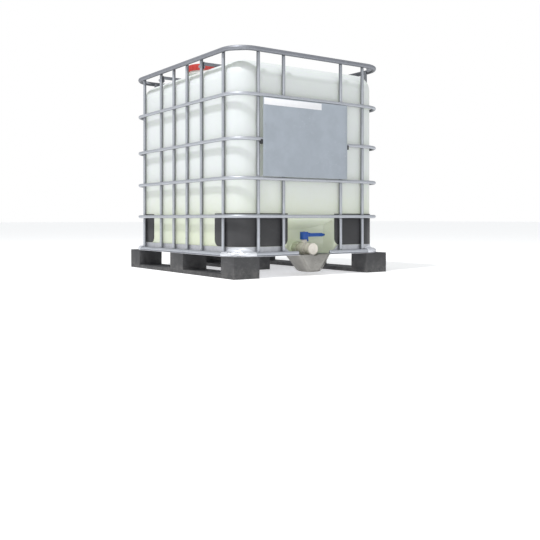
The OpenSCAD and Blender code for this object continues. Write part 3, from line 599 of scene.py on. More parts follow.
class Finish:
    """One material under construction: a Principled shader and Object coordinates."""

    def __init__(self, name, colour, roughness, metallic=0.0):
        self.material = bpy.data.materials.new(name + "_finish")
        self.material.use_nodes = True
        self.tree = self.material.node_tree
        self.shader = self.tree.nodes["Principled BSDF"]
        self.place = self.tree.nodes.new("ShaderNodeTexCoord").outputs["Object"]
        self.shader.inputs["Metallic"].default_value = metallic
        self.tone = self.colour_node(colour)
        self.rough = None
        self.roughness = roughness

    def colour_node(self, colour):
        node = self.tree.nodes.new("ShaderNodeRGB")
        node.outputs[0].default_value = (*colour, 1)
        return node.outputs[0]

    def group(self, name, **values):
        """Adds a shared effect, fed with the place on the piece."""
        node = self.tree.nodes.new("ShaderNodeGroup")
        node.node_tree = material_groups()[name]
        self.tree.links.new(self.place, node.inputs["Vector"])
        for label, value in values.items():
            node.inputs[label.capitalize()].default_value = value
        return node

    def mix(self, mask, colour, strength):
        """Blends the base colour towards another where the mask is high."""
        node = self.tree.nodes.new("ShaderNodeMix")
        node.data_type = "RGBA"
        self.tree.links.new(math_node(self.tree, "MULTIPLY", mask, strength), node.inputs["Factor"])
        self.tree.links.new(self.tone, node.inputs["A"])
        self.tree.links.new(self.colour_node(colour), node.inputs["B"])
        self.tone = node.outputs["Result"]

    def roughen(self, mask, amount):
        """Adds to the roughness where the mask is high."""
        base = self.roughness if self.rough is None else self.rough
        self.rough = math_node(self.tree, "ADD", math_node(self.tree, "MULTIPLY", mask, amount), base)

    def bump(self, height, strength, distance):
        node = self.tree.nodes.new("ShaderNodeBump")
        node.inputs["Strength"].default_value = strength
        node.inputs["Distance"].default_value = distance
        self.tree.links.new(height, node.inputs["Height"])
        self.tree.links.new(node.outputs["Normal"], self.shader.inputs["Normal"])

    def done(self, **sockets):
        for label, value in sockets.items():
            self.shader.inputs[label.replace("_", " ")].default_value = value
        self.tree.links.new(self.tone, self.shader.inputs["Base Color"])
        if self.rough is None:
            self.shader.inputs["Roughness"].default_value = self.roughness
        else:
            self.tree.links.new(self.rough, self.shader.inputs["Roughness"])
        return self.material


def darker(colour, share):
    return tuple(c * share for c in colour)


def tube_material(name, colour, roughness):
    """Galvanised tube: bright along its outer crest, with painted shade that darkens its flanks."""
    finish = Finish(name, colour, roughness, 0.55)
    crest = finish.tree.nodes.new("ShaderNodeAttribute")
    crest.attribute_name = "crest"
    zinc = finish.group("spangle", scale=130.0)
    scuffs = finish.group("scuffs", scale=80.0, amount=0.9)
    cloud = finish.group("mottle", scale=9.0)
    # Painted shade: the mask rises as the surface turns away from the outer crest
    painted_flank_shade = map_node(finish.tree, crest.outputs["Fac"], -0.1, 0.85, 1.0, 0.0)
    finish.mix(zinc.outputs["Value"], darker(colour, 0.72), 0.5)
    finish.mix(cloud.outputs["Value"], tuple(min(1, c * 1.2) for c in colour), 0.3)
    # Painted shade on the flanks, standing in for the dark edges that reflections give the tubes
    finish.mix(painted_flank_shade, darker(colour, 0.30), 0.85)
    finish.mix(scuffs.outputs["Mask"], darker(colour, 0.4), 0.5)
    finish.roughen(zinc.outputs["Value"], 0.14)
    finish.bump(zinc.outputs["Height"], 0.12, 0.4 * MM)
    return finish.done()


def zinc_material(name, colour, roughness, spangle):
    """Galvanised sheet or a plated fastener, with crystals of a size and light wear."""
    finish = Finish(name, colour, roughness, 0.75)
    zinc = finish.group("spangle", scale=spangle)
    cloud = finish.group("mottle", scale=14.0)
    scuffs = finish.group("scuffs", scale=70.0, amount=0.8)
    finish.mix(zinc.outputs["Value"], darker(colour, 0.62), 0.55)
    finish.mix(cloud.outputs["Value"], tuple(min(1, c * 1.25) for c in colour), 0.35)
    finish.mix(scuffs.outputs["Mask"], darker(colour, 0.45), 0.6)
    finish.roughen(zinc.outputs["Value"], 0.16)
    finish.bump(zinc.outputs["Height"], 0.12, 0.4 * MM)
    return finish.done()


def moulded_material(name, colour, roughness, worn, grain=700.0, dust_to=None):
    """Moulded plastic with a fine grain, worn marks and, low down, dust."""
    finish = Finish(name, colour, roughness)
    cloud = finish.group("mottle", scale=11.0)
    scuffs = finish.group("scuffs", scale=60.0, amount=1.0)
    fine = finish.group("grain", scale=grain)
    finish.mix(cloud.outputs["Value"], darker(colour, 0.78), 0.5)
    finish.mix(scuffs.outputs["Mask"], worn, 0.35)
    if dust_to:
        low = finish.group("dust", high=dust_to)
        finish.mix(low.outputs["Mask"], (0.5, 0.48, 0.45), 0.12)
    finish.roughen(cloud.outputs["Value"], 0.12)
    finish.bump(fine.outputs["Height"], 0.25, 0.15 * MM)
    return finish.done()


def bottle_material():
    """Milky plastic, with painted bounce light that turns it greener and darker towards the bottom, and a
    painted glow.
    """
    tint = colours()
    finish = Finish("bottle_plastic", tint.bottle, 0.34)
    low = finish.group("dust", low=0.10, high=0.75)
    cloud = finish.group("mottle", scale=3.0)
    parts = finish.tree.nodes.new("ShaderNodeSeparateXYZ")
    finish.tree.links.new(finish.place, parts.inputs["Vector"])
    # Painted bounce light: greener towards the bottom, as light thrown up from below would tint it
    painted_bounce_fall = map_node(finish.tree, parts.outputs["Z"], 0.12, 0.58, 1.0, 0.0)
    finish.mix(painted_bounce_fall, tint.bottle_bounce_tint, 0.8)
    finish.mix(cloud.outputs["Value"], darker(tint.bottle, 0.93), 0.4)
    # Painted bounce light: darker and greener still towards the bottom, broken up by a cloud
    finish.mix(low.outputs["Mask"], darker(tint.bottle_bounce_tint, 0.9), 0.2)
    finish.roughen(cloud.outputs["Value"], 0.08)
    wave = finish.group("mottle", scale=16.0)
    finish.bump(wave.outputs["Value"], 0.12, 1.2 * MM)
    # The emission is a painted glow that lifts the recess and the shaded walls, standing in for light
    # through the plastic
    return finish.done(
        Subsurface_Weight=0.45, Subsurface_Radius=(0.8, 1.0, 0.7), Subsurface_Scale=0.03,
        Specular_IOR_Level=0.45, Emission_Color=(0.84, 0.91, 0.70, 1), Emission_Strength=0.19)


def paper_material():
    tint = colours()
    finish = Finish("label_paper", tint.paper, 0.6)
    cloud = finish.group("mottle", scale=30.0)
    finish.mix(cloud.outputs["Value"], darker(tint.paper, 0.92), 0.5)
    return finish.done()


def build_materials():
    """Every finish, by name."""
    tint = colours()
    worn_cream = (0.6, 0.56, 0.5)
    # Colour, roughness and crystals to the metre
    zinc = {
        # The bars, gussets and welds take the rim's colour, with its painted shade
        "bar_shaded_steel": (tint.rim, 0.42, 110.0),
        "pan_steel": (tint.pan, 0.36, 60.0),
        "plate_steel": (tint.plates, 0.34, 60.0),
        "well_steel": (tint.well, 0.42, 60.0),
        "zinc_fastener": (tint.zinc, 0.30, 300.0),
        "stem_steel": (tint.zinc, 0.24, 400.0)}
    # Colour, roughness and colour where worn
    moulded = {
        "guard_plastic": (tint.guard, 0.42, (0.12, 0.12, 0.12)),
        "lid_plastic": (tint.lid, 0.38, (0.62, 0.2, 0.17)),
        "handle_plastic": (tint.handle, 0.34, (0.08, 0.2, 0.5)),
        "valve_plastic": (tint.valve, 0.36, worn_cream),
        "cap_plastic": (tint.valve, 0.40, worn_cream),
        "seat_plastic": ((0.85, 0.85, 0.83), 0.3, (0.8, 0.8, 0.8)),
        "ball_plastic": ((0.8, 0.8, 0.82), 0.2, (0.7, 0.7, 0.7)),
        "nut_plastic": (tint.nut, 0.42, (0.5, 0.5, 0.42)),
        "seal_rubber": (tint.black, 0.7, (0.08, 0.08, 0.08)),
        "clip_steel": (tint.black, 0.5, (0.14, 0.14, 0.14)),
        "label_steel": (tint.label, 0.42, (0.48, 0.52, 0.57), 260.0),
        "pallet_plastic": (tint.pallet, 0.55, (0.16, 0.16, 0.165), 700.0, 0.11)}
    made = {name: zinc_material(name, *values) for name, values in zinc.items()}
    for name, values in moulded.items():
        made[name] = moulded_material(name, *values)
    # The rim's finish is the cage tube's finish in the darker colour, with painted shade
    for name, colour, roughness in (("cage_steel", tint.zinc, 0.36), ("rim_steel", tint.rim, 0.42)):
        made[name] = tube_material(name, colour, roughness)
    made["label_paper"] = paper_material()
    made["bottle_plastic"] = bottle_material()
    return made


def material(name):
    """A finish by name; all of them are made on first use."""
    if not FINISHES:
        FINISHES.update(build_materials())
    return FINISHES[name]


# ---------------------------------------------------------------- operators: cage


class CONTAINER_OT_rings(bpy.types.Operator):
    """Build the top rim, the four hoops and the bottom rim"""

    bl_idname = "container.rings"
    bl_label = "Cage rings"

    def execute(self, context):
        size = sizes()
        for node in HOOPS:
            bm = make_ring(node, size)
            dent_ring(bm, node, size)
            finish_piece(node + "_tube", bm, "cage_steel", replaces=(node,))
        finish_piece("top_rim_tube", make_ring("top_rim", size), "rim_steel", replaces=("top_rim",))
        rim_gap = 0.107
        bm = make_ring("bottom_rim", size, rim_gap)
        finish_piece("bottom_rim_tube", bm, "cage_steel", replaces=("bottom_rim",))
        return {"FINISHED"}


def ring_crossings(saddle):
    """Height and depth of each saddle in an upright, bottom to top."""
    shares = [("bottom_rim", 1.2)] + [(node, 1) for node in HOOPS] + [("top_rim", 2.2)]
    return [(ring_size(node)[3], share * saddle) for node, share in shares]


class CONTAINER_OT_uprights(bpy.types.Operator):
    """Build the upright tubes on the four sides"""

    bl_idname = "container.uprights"
    bl_label = "Cage uprights"

    def execute(self, context):
        size = sizes()
        crossings = ring_crossings(size.saddle)
        sides = {
            "uprights_front": (-Y_AXIS, FRONT_UPRIGHTS), "uprights_rear": (Y_AXIS, FRONT_UPRIGHTS),
            "uprights_left": (-X_AXIS, SIDE_UPRIGHTS), "uprights_right": (X_AXIS, SIDE_UPRIGHTS)}
        for node, (outward, places) in sides.items():
            low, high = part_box(node)
            along = X_AXIS if outward.x == 0 else Y_AXIS
            radius = min(high.x - low.x, high.y - low.y) / 2
            level = outward.dot((low + high) / 2)
            bm = bmesh.new()
            for place in places:
                foot = outward * level + along * place + Z_AXIS * low.z
                make_upright(bm, foot, outward, radius, high.z, crossings, size)
            bmesh.ops.recalc_face_normals(bm, faces=bm.faces)
            mark_crest(bm, lambda co: (co.dot(outward) - level) / radius)
            finish_piece(node + "_tubes", bm, "cage_steel", replaces=(node,))
        return {"FINISHED"}


class CONTAINER_OT_welds(bpy.types.Operator):
    """Build the weld beads where hoops cross uprights"""

    bl_idname = "container.welds"
    bl_label = "Weld beads"

    def execute(self, context):
        bm = bmesh.new()
        for node in HOOPS:
            radius, half_x, half_y, height = ring_size(node)
            inset = 0.7125 * radius
            for outward, along, half, places in (
                    (Y_AXIS, X_AXIS, half_y, FRONT_UPRIGHTS), (X_AXIS, Y_AXIS, half_x, SIDE_UPRIGHTS)):
                for side, place, up in product((-1, 1), places, (-1, 1)):
                    at = outward * side * (half - inset) + along * place
                    at += Z_AXIS * (height + up * radius * 0.78)
                    made = bmesh.ops.create_icosphere(bm, subdivisions=1, radius=3.2 * MM)["verts"]
                    bmesh.ops.scale(bm, vec=(1.5, 1.5, 0.8), verts=made)
                    bmesh.ops.translate(bm, vec=at, verts=made)
        finish_piece("weld_beads", bm, "cage_steel", finish="bar_shaded_steel")
        return {"FINISHED"}


class CONTAINER_OT_cage_fittings(bpy.types.Operator):
    """Build the top bars, the gussets, the rim's plugs and the cage's fasteners"""

    bl_idname = "container.cage_fittings"
    bl_label = "Cage fittings"

    def execute(self, context):
        for node, width, slot, finish in (
                ("top_bar_front", 0.8, "rim_steel", "bar_shaded_steel"),
                ("top_bar_rear", 0.8, "rim_steel", "bar_shaded_steel"),
                ("corner_gussets", 0.6, "rim_steel", "bar_shaded_steel"),
                ("rim_plugs", 1.2, "cage_steel", "zinc_fastener"),
                ("top_bar_bolts", 0.5, "zinc_fastener", "zinc_fastener"),
                ("top_bar_nuts", 0.4, "zinc_fastener", "zinc_fastener"),
                ("rim_screws", 0.7, "zinc_fastener", "zinc_fastener")):
            rounded_copy(node + "_finished", node, width * MM, slot, finish=finish)
        return {"FINISHED"}


# ---------------------------------------------------------------- operators: label


class CONTAINER_OT_label(bpy.types.Operator):
    """Build the label plate with its strip, hooks and rivets"""

    bl_idname = "container.label"
    bl_label = "Label plate"

    def execute(self, context):
        low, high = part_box("label_plate")
        strip_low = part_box("label_strip")[0].z
        wave = sizes().plate_wave
        grid = 0.02
        fade = 0.04
        bm = bmesh.new()
        add_block(bm, low, high, 0.3 * MM)
        cut_grid(bm, 0, spread(low.x, high.x, grid))
        cut_grid(bm, 2, spread(low.z, high.z, grid))
        for v in bm.verts:
            x, _, z = v.co
            edge = min(x - low.x, high.x - x, z - low.z, strip_low - z)
            amount = min(1, max(0, edge / fade))
            v.co.y -= amount * wave * (0.4 + noise.noise(Vector((x * 7, 0.3, z * 7))))
        finish_piece("label_plate_sheet", bm, "label_steel", replaces=("label_plate",))
        rounded_copy("label_strip_paper", "label_strip", 0.1 * MM, "label_paper")
        rounded_copy("label_hooks", "label_clips", 1.2 * MM, "clip_steel")
        rounded_copy("label_rivet_heads", "label_rivets", 0.45 * MM, "zinc_fastener")
        return {"FINISHED"}


# ---------------------------------------------------------------- operators: pallet


class CONTAINER_OT_pallet(bpy.types.Operator):
    """Build the feet, the runners and their screws"""

    bl_idname = "container.pallet"
    bl_label = "Pallet"

    def execute(self, context):
        edge = sizes().foot_round
        for node, width in (
                ("corner_feet", edge), ("side_feet", edge), ("centre_feet", edge),
                ("skid_left", 3 * MM), ("skid_centre", 3 * MM), ("skid_right", 3 * MM)):
            rounded_copy(node + "_moulded", node, width, "pallet_plastic", segments=3)
        for node in ("skid_screws", "pan_bolts", "well_rivets"):
            rounded_copy(node + "_finished", node, 0.5 * MM, "zinc_fastener")
        return {"FINISHED"}


class CONTAINER_OT_pan(bpy.types.Operator):
    """Build the base pan, its corner plates and the valve well"""

    bl_idname = "container.pan"
    bl_label = "Base pan and well"

    def execute(self, context):
        rounded_copy("base_pan_sheet", "base_pan", 0.5 * MM, "pan_steel")
        make_corner_plates()
        make_valve_well()
        return {"FINISHED"}


def make_corner_plates():
    """Draped plates at the pan's corners: highest at the middle of the corner, dented by handling."""
    size = sizes()
    low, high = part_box("pan_corner_plates")
    radius, half_x, half_y, _ = ring_size("bottom_rim")
    corner = size.cage_corner
    outer = corner + radius
    rim_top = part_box("bottom_rim")[1].z
    ear_r = corner - radius - 11.5 * MM
    bm = bmesh.new()
    profile = [(ear_r, high.z), (ear_r + 1 * MM, high.z - 12 * MM), (ear_r + 4 * MM, rim_top + 9 * MM),
               (corner - radius, rim_top + 2.5 * MM), (corner, rim_top + 1.4 * MM),
               (corner + 0.6 * radius, rim_top - 1.2 * MM), (outer + 0.8 * MM, rim_top - 7 * MM),
               (outer + 1.2 * MM, rim_top - radius), (outer + 1.2 * MM, low.z)]
    verts = [bm.verts.new((r, 0, z)) for r, z in profile]
    edges = [bm.edges.new(pair) for pair in zip(verts, verts[1:])]
    bmesh.ops.subdivide_edges(bm, edges=edges, cuts=2)
    bmesh.ops.spin(
        bm, geom=bm.verts[:] + bm.edges[:], cent=(0, 0, 0), axis=(0, 0, 1), dvec=(0, 0, 0), angle=QUARTER,
        steps=40, use_merge=False, use_duplicate=False)
    bmesh.ops.remove_doubles(bm, verts=bm.verts, dist=SAME)
    bmesh.ops.recalc_face_normals(bm, faces=bm.faces)
    drape = rim_top + 2 * MM
    for v in bm.verts:
        turn = math.atan2(v.co.y, v.co.x) / QUARTER
        middle = math.sin(math.pi * min(1, max(0, turn)))
        if v.co.z > drape:
            v.co.z = drape + (v.co.z - drape) * middle ** 0.6
        dent = noise.noise(v.co * 55) + 0.6 * noise.noise(v.co * 130)
        v.co.z += size.crumple * dent * middle * min(1, (high.z - v.co.z) / (8 * MM))
    bmesh.ops.translate(bm, vec=(half_x - corner, half_y - corner, 0), verts=bm.verts)
    for scale in ((-1, 1, 1), (1, -1, 1)):
        copy = bmesh.ops.duplicate(bm, geom=bm.verts[:] + bm.edges[:] + bm.faces[:])["geom"]
        bmesh.ops.scale(bm, vec=scale, verts=only(copy, BMVert))
        bmesh.ops.reverse_faces(bm, faces=only(copy, BMFace))
    bmesh.ops.solidify(bm, geom=bm.faces[:], thickness=0.9 * MM)
    finish_piece("corner_plates", bm, "pan_steel", replaces=("pan_corner_plates",), finish="plate_steel")


# The well's front edge: half its width at the top and at the floor, and how far the floor stands back
WELL_FRONT_HALF = 0.097
WELL_FLOOR_HALF = 0.038
WELL_LEAN = 0.006
# Vertices nearer to the front than this belong to the well's front edge
WELL_FRONT_BAND = 0.01


def both_sides(right):
    """Closed outline, from the points of its right half, front to back."""
    left = [(-x, y) for x, y in right]
    return left[:1] + right + left[:0:-1]


def well_scoop(size, low, high):
    """Six-sided scoop that narrows to its floor, round at its corners and open at the top."""
    front = low.y
    mouth = both_sides([(WELL_FRONT_HALF, front), (0.130, front + 0.086), (0.062, front + 0.18)])
    floor_front = front + WELL_LEAN
    floor = both_sides(
        [(WELL_FLOOR_HALF, floor_front), (0.048, floor_front + 0.06), (0.040, front + 0.116)])
    bm = bmesh.new()
    face = bm.faces.new([bm.verts.new((x, y, high.z)) for x, y in mouth])
    made = bmesh.ops.extrude_face_region(bm, geom=[face])["geom"]
    for v in only(made, BMVert):
        index = min(range(len(mouth)), key=lambda i: (v.co.xy - Vector(mouth[i])).length)
        v.co = (*floor[index], low.z)
    bmesh.ops.recalc_face_normals(bm, faces=bm.faces)
    lid = [f for f in bm.faces if all(abs(v.co.z - high.z) < SAME for v in f.verts)]
    bmesh.ops.delete(bm, geom=lid, context="FACES_ONLY")
    upright = [e for e in bm.edges if abs(e.verts[0].co.z - e.verts[1].co.z) > 0.01]
    bevel_edges(bm, upright, size.well_corner, 5)
    bevel_edges(bm, level_edges(bm, low.z), 0.7 * size.well_corner, 5)
    bmesh.ops.triangulate(bm, faces=[f for f in bm.faces if len(f.verts) > 4])
    return bm


def dip_under_cap(bm, low, high):
    """Lowers the middle of the well's front edge round the outlet cap."""
    cap_low, cap_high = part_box("outlet_cap")
    radius = (cap_high.z - cap_low.z) / 2 + 4 * MM
    cap_z = (cap_low.z + cap_high.z) / 2
    cut_grid(bm, 0, spread(-0.060, 0.060, 5 * MM))
    for v in bm.verts:
        if v.co.y < low.y + WELL_FRONT_BAND and v.co.z > high.z - 1 * MM and abs(v.co.x) < radius:
            v.co.z = min(v.co.z, cap_z - math.sqrt(radius ** 2 - v.co.x ** 2))


def add_well_flange(bm, front):
    """Turns the well's rim outwards, less along the front than round the sides and the back."""
    rim = [e for e in bm.edges if e.is_boundary]
    made = bmesh.ops.extrude_edge_only(bm, edges=rim)["geom"]
    middle = Vector((0, front + 0.08, 0))
    for v in only(made, BMVert):
        out = v.co - middle
        out.z = 0
        reach = 4 * MM if v.co.y < front + WELL_FRONT_BAND else 11 * MM
        v.co += out.normalized() * reach
        v.co.y = max(v.co.y, front + 1 * MM)
    bmesh.ops.recalc_face_normals(bm, faces=bm.faces)
    bmesh.ops.dissolve_degenerate(bm, dist=0.2 * MM, edges=bm.edges[:])


def make_well_lip(size, low, high):
    """Rolled edge down one side of the well's front, along the floor and up the other side."""
    bead = size.well_lip
    inset = 2 * MM
    outline = [Vector((inset - WELL_FRONT_HALF, 0, high.z - bead))]
    for side in (-1, 1):
        corner = Vector((side * WELL_FLOOR_HALF, 0, low.z + bead))
        up = (Vector((side * WELL_FRONT_HALF, 0, high.z)) - corner).normalized() * size.well_corner
        across = Vector((-side * size.well_corner, 0, 0))
        start, end = (up, across) if side < 0 else (across, up)
        for step in range(7):
            t = step / 6
            outline.append(corner + start * (1 - t) ** 2 + end * t ** 2)
    outline.append(Vector((WELL_FRONT_HALF - inset, 0, high.z - bead)))
    for at in outline:
        lean = WELL_LEAN * (high.z - at.z) / (high.z - low.z)
        at.y = low.y + max(bead, lean)
    bm = bmesh.new()
    add_bead(bm, outline, bead)
    finish_piece("valve_well_lip", bm, "well_steel")


def make_valve_well():
    """Pressed scoop under the valve, with a dip, a flange and a rolled front lip."""
    size = sizes()
    low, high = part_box("valve_well")
    bm = well_scoop(size, low, high)
    dip_under_cap(bm, low, high)
    add_well_flange(bm, low.y)
    bmesh.ops.solidify(bm, geom=bm.faces[:], thickness=1.6 * MM)
    # Where the flange folds back on itself, solidify throws its corners forwards
    for v in bm.verts:
        v.co.y = max(v.co.y, low.y)
    bevel_edges(bm, sharp_edges(bm, math.radians(60)), 0.3 * MM)
    finish_piece("valve_well_sheet", bm, "well_steel", replaces=("valve_well",))
    make_well_lip(size, low, high)


# ---------------------------------------------------------------- operators: bottle


BOTTLE_BOTTOM = 0.110
BOTTLE_TOP = 1.100
BOTTLE_WALL = 5 * MM
# Height at which the valve's recess has sloped back out to the bottle's front
RECESS_TOP = 0.300


def pocket_depth(x, z):
    """Depth of the valve's recess behind the bottle's front."""
    half, back_half, full, shelf = 0.152, 0.062, 0.137, 0.082
    roof, edge, fade = 0.236, 0.002, 0.010
    x = abs(x)
    if x > half + fade - edge or z > RECESS_TOP:
        return 0
    depth = full if x < back_half else full + (shelf - full) * (x - back_half) / (half - back_half)
    depth *= ease((x - half + edge) / fade) if x > half - edge else 1
    if z > roof:
        depth = min(depth, full * ease((z - roof) / (RECESS_TOP - roof)))
    return depth


def bottle_block(size, half_x, half_y):
    """Round-cornered block, cut into a grid that is finer round the valve's recess."""
    bm = bmesh.new()
    add_block(bm, (-half_x, -half_y, BOTTLE_BOTTOM), (half_x, half_y, BOTTLE_TOP))
    upright = [e for e in bm.edges if abs(e.verts[0].co.z - e.verts[1].co.z) > 0.5]
    bevel_edges(bm, upright, size.bottle_corner, 10)
    bevel_edges(bm, level_edges(bm, BOTTLE_TOP, 1e-5), size.bottle_shoulder, 8)
    bevel_edges(bm, level_edges(bm, BOTTLE_BOTTOM, 1e-5), size.bottle_foot, 8)
    bmesh.ops.triangulate(bm, faces=[f for f in bm.faces if len(f.verts) > 4])
    grid, fine, fine_half = size.bottle_grid, 6 * MM, 0.166
    cut_grid(bm, 0, spread(-half_x, half_x, grid) + spread(-fine_half, fine_half, fine))
    cut_grid(bm, 1, spread(-half_y, half_y, grid))
    cut_grid(bm, 2, spread(BOTTLE_BOTTOM, BOTTLE_TOP, grid) + spread(BOTTLE_BOTTOM, RECESS_TOP, fine))
    return bm


def arch(at, places):
    """1 halfway between two neighbouring places, falling to 0 at each and outside them all."""
    for before, after in zip(places, places[1:]):
        if before < at < after:
            return math.sin(math.pi * (at - before) / (after - before))
    return 0


def shape_walls(bm, size, half_x, half_y):
    """Swells the bottle's walls between the hoops, and sinks the recess for the valve."""
    heights = [ring_size(node)[3] for node in HOOPS] + [BOTTLE_TOP]
    margin, fade = 0.22, 0.16
    for v in bm.verts:
        x, y, z = v.co
        swell = size.bulge * arch(z, heights) ** 0.7
        if abs(abs(y) - half_y) < 1e-4:
            v.co.y += math.copysign(swell * ease(max(0, abs(x) - half_x + margin) / fade), y)
        if abs(abs(x) - half_x) < 1e-4:
            inside = ease(max(0, abs(y) - half_y + margin) / fade)
            v.co.x += math.copysign(swell * inside * (0.45 + 0.55 * arch(y, SIDE_UPRIGHTS)), x)
        v.co.y += pocket_depth(x, z) * (half_y - y) / (2 * half_y)
    bmesh.ops.recalc_face_normals(bm, faces=bm.faces)


def add_fill_neck(bm, neck_top):
    """Opens the bottle's top and stands the fill neck round the hole."""
    low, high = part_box("lid_gasket")
    centre = (low + high) / 2
    outer = (high.x - low.x) / 2
    inner = outer - BOTTLE_WALL
    open_round_hole(bm, centre, outer - BOTTLE_WALL / 2, BOTTLE_TOP - 0.04)
    profile = [(outer + 14 * MM, BOTTLE_TOP - 1 * MM), (outer + 3 * MM, BOTTLE_TOP + 4 * MM),
               (outer, BOTTLE_TOP + 9 * MM), (outer, neck_top), (inner, neck_top),
               (inner, BOTTLE_TOP - 20 * MM)]
    add_lathe(bm, profile, 64, Matrix.Translation((centre.x, centre.y, 0)))


def add_outlet_neck(bm):
    """Neck at the back of the recess, which the union nut grips."""
    low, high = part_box("valve_gasket")
    outer = (high.x - low.x) / 2
    inner = outer - BOTTLE_WALL
    length = 34 * MM
    root = Matrix.Translation((0, high.y + length, (low.z + high.z) / 2))
    profile = [(outer + 8 * MM, 0), (outer + 1 * MM, 5 * MM), (outer, length), (inner, length), (inner, 0)]
    add_lathe(bm, profile, 40, root @ Matrix.Rotation(QUARTER, 4, "X"))


class CONTAINER_OT_bottle(bpy.types.Operator):
    """Build the bottle: round corners, swelling panels and the recess for the valve"""

    bl_idname = "container.bottle"
    bl_label = "Bottle"

    def execute(self, context):
        size = sizes()
        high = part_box("bottle")[1]
        bm = bottle_block(size, high.x, high.y)
        shape_walls(bm, size, high.x, high.y)
        add_fill_neck(bm, high.z)
        add_outlet_neck(bm)
        finish_piece("bottle_shell", bm, "bottle_plastic", replaces=("bottle",))
        return {"FINISHED"}


class CONTAINER_OT_guards(bpy.types.Operator):
    """Build the four corner guards"""

    bl_idname = "container.guards"
    bl_label = "Corner guards"

    def execute(self, context):
        for corner in ("front_left", "front_right", "rear_left", "rear_right"):
            node = "guard_" + corner
            rounded_copy(node + "_shell", node, 1.0 * MM, "guard_plastic")
        return {"FINISHED"}


class CONTAINER_OT_lid(bpy.types.Operator):
    """Build the fill lid and its gasket"""

    bl_idname = "container.lid"
    bl_label = "Fill lid"

    def execute(self, context):
        rounded_copy("fill_lid", "lid", 1.2 * MM, "lid_plastic", "lid")
        rounded_copy("fill_lid_gasket", "lid_gasket", 0.5 * MM, "seal_rubber", "lid_seal")
        return {"FINISHED"}


# ---------------------------------------------------------------- operators: valve


class CONTAINER_OT_valve(bpy.types.Operator):
    """Build the valve, its lever, its union nut and the outlet cap"""

    bl_idname = "container.valve"
    bl_label = "Outlet valve"

    def execute(self, context):
        for name, node, width, slot, body in (
                ("union_nut", "outlet_nut", 0.8, "nut_plastic", "root"),
                ("valve_casing", "valve_body", 0.8, "valve_plastic", "root"),
                ("neck_gasket", "valve_gasket", 0.4, "seal_rubber", "root"),
                ("seat_rings", "ball_seats", 0.3, "seat_plastic", "root"),
                ("ball", "valve_ball", 0.5, "ball_plastic", "handle"),
                ("stem", "valve_stem", 0.2, "stem_steel", "handle"),
                ("lever", "valve_handle", 1.4, "handle_plastic", "handle"),
                ("lever_screw", "handle_screw", 0.3, "stem_steel", "handle"),
                ("cap", "outlet_cap", 0.8, "cap_plastic", "outlet_cap"),
                ("cap_seal_ring", "cap_gasket", 0.4, "seal_rubber", "cap_seal")):
            rounded_copy(name, node, width * MM, slot, body)
        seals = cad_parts["stem_seals"]
        seals.data.materials.clear()
        seals.data.materials.append(material("seal_rubber"))
        return {"FINISHED"}


# ---------------------------------------------------------------- stage


def aim(thing, target):
    direction = Vector(target) - thing.location
    thing.rotation_euler = direction.to_track_quat("-Z", "Y").to_euler()


def add_area(name, place, target, width, height, power):
    data = bpy.data.lights.new(name, "AREA")
    data.shape = "RECTANGLE"
    data.size, data.size_y = width, height
    data.energy = power
    light = bpy.data.objects.new(name, data)
    bpy.context.scene.collection.objects.link(light)
    light.location = place
    aim(light, target)


def studio_world():
    """Soft even light, with a white background where nothing stands."""
    world = bpy.data.worlds.new("studio")
    world.use_nodes = True
    tree = world.node_tree
    light = tree.nodes["Background"]
    light.inputs["Color"].default_value = (0.96, 0.98, 1, 1)
    light.inputs["Strength"].default_value = 0.58
    backdrop = tree.nodes.new("ShaderNodeBackground")
    backdrop.inputs["Color"].default_value = (1, 1, 1, 1)
    mix = tree.nodes.new("ShaderNodeMixShader")
    path = tree.nodes.new("ShaderNodeLightPath")
    tree.links.new(path.outputs["Is Camera Ray"], mix.inputs[0])
    tree.links.new(light.outputs[0], mix.inputs[1])
    tree.links.new(backdrop.outputs[0], mix.inputs[2])
    tree.links.new(mix.outputs[0], tree.nodes["World Output"].inputs["Surface"])
    return world


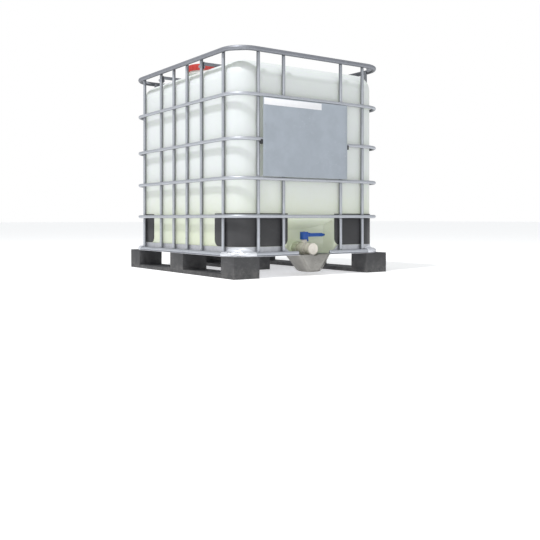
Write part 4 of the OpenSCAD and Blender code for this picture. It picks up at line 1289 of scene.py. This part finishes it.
class CONTAINER_OT_stage(bpy.types.Operator):
    """Build the floor, the lights and the camera"""

    bl_idname = "container.stage"
    bl_label = "Stage"

    def execute(self, context):
        scene = context.scene
        finish = Finish("floor_paint", colours().floor, 0.6)
        cloud = finish.group("mottle", scale=0.8)
        finish.mix(cloud.outputs["Value"], darker(colours().floor, 0.98), 0.5)
        bm = bmesh.new()
        bmesh.ops.create_grid(bm, x_segments=1, y_segments=1, size=60)
        mesh = bpy.data.meshes.new("floor")
        bm.to_mesh(mesh)
        bm.free()
        mesh.materials.append(finish.done(Emission_Color=(1, 1, 1, 1), Emission_Strength=0.42))
        floor = bpy.data.objects.new("floor", mesh)
        scene.collection.objects.link(floor)

        scene.world = studio_world()
        middle = (0, 0, 0.6)
        add_area("key", (-2.6, -1.2, 5.2), middle, 0.35, 0.35, 230)
        add_area("front_fill", (-2.6, -4.4, 1.2), middle, 3.0, 2.0, 18)

        data = bpy.data.cameras.new("camera")
        data.sensor_width = 36
        data.lens = 49
        data.shift_y = -0.0948
        camera = bpy.data.objects.new("camera", data)
        camera.location = (-2.378, -3.612, 0.2955)
        camera.rotation_euler = (QUARTER, 0, math.radians(-34.73))
        scene.collection.objects.link(camera)
        scene.camera = camera
        scene.view_settings.view_transform = "Standard"
        return {"FINISHED"}


# ---------------------------------------------------------------- steps and panel


STEPS = (
    CONTAINER_OT_rings, CONTAINER_OT_uprights, CONTAINER_OT_welds, CONTAINER_OT_cage_fittings,
    CONTAINER_OT_label, CONTAINER_OT_pallet, CONTAINER_OT_pan, CONTAINER_OT_bottle, CONTAINER_OT_guards,
    CONTAINER_OT_lid, CONTAINER_OT_valve, CONTAINER_OT_stage)


class CONTAINER_PT_panel(bpy.types.Panel):
    """Buttons that build each piece"""

    bl_idname = "CONTAINER_PT_panel"
    bl_label = "Bulk container"
    bl_space_type = "VIEW_3D"
    bl_region_type = "UI"
    bl_category = "Container"

    def draw(self, context):
        for step in STEPS:
            self.layout.operator(step.bl_idname)


CLASSES = (ContainerSizes, ContainerColours) + STEPS + (CONTAINER_PT_panel,)


def register():
    for cls in CLASSES:
        bpy.utils.register_class(cls)
    bpy.types.Scene.container_sizes = PointerProperty(type=ContainerSizes)
    bpy.types.Scene.container_colours = PointerProperty(type=ContainerColours)


def unregister():
    del bpy.types.Scene.container_colours
    del bpy.types.Scene.container_sizes
    for cls in reversed(CLASSES):
        bpy.utils.unregister_class(cls)


def main():
    register()
    for step in STEPS:
        group, name = step.bl_idname.split(".")
        getattr(getattr(bpy.ops, group), name)()


if __name__ == "__main__":
    main()
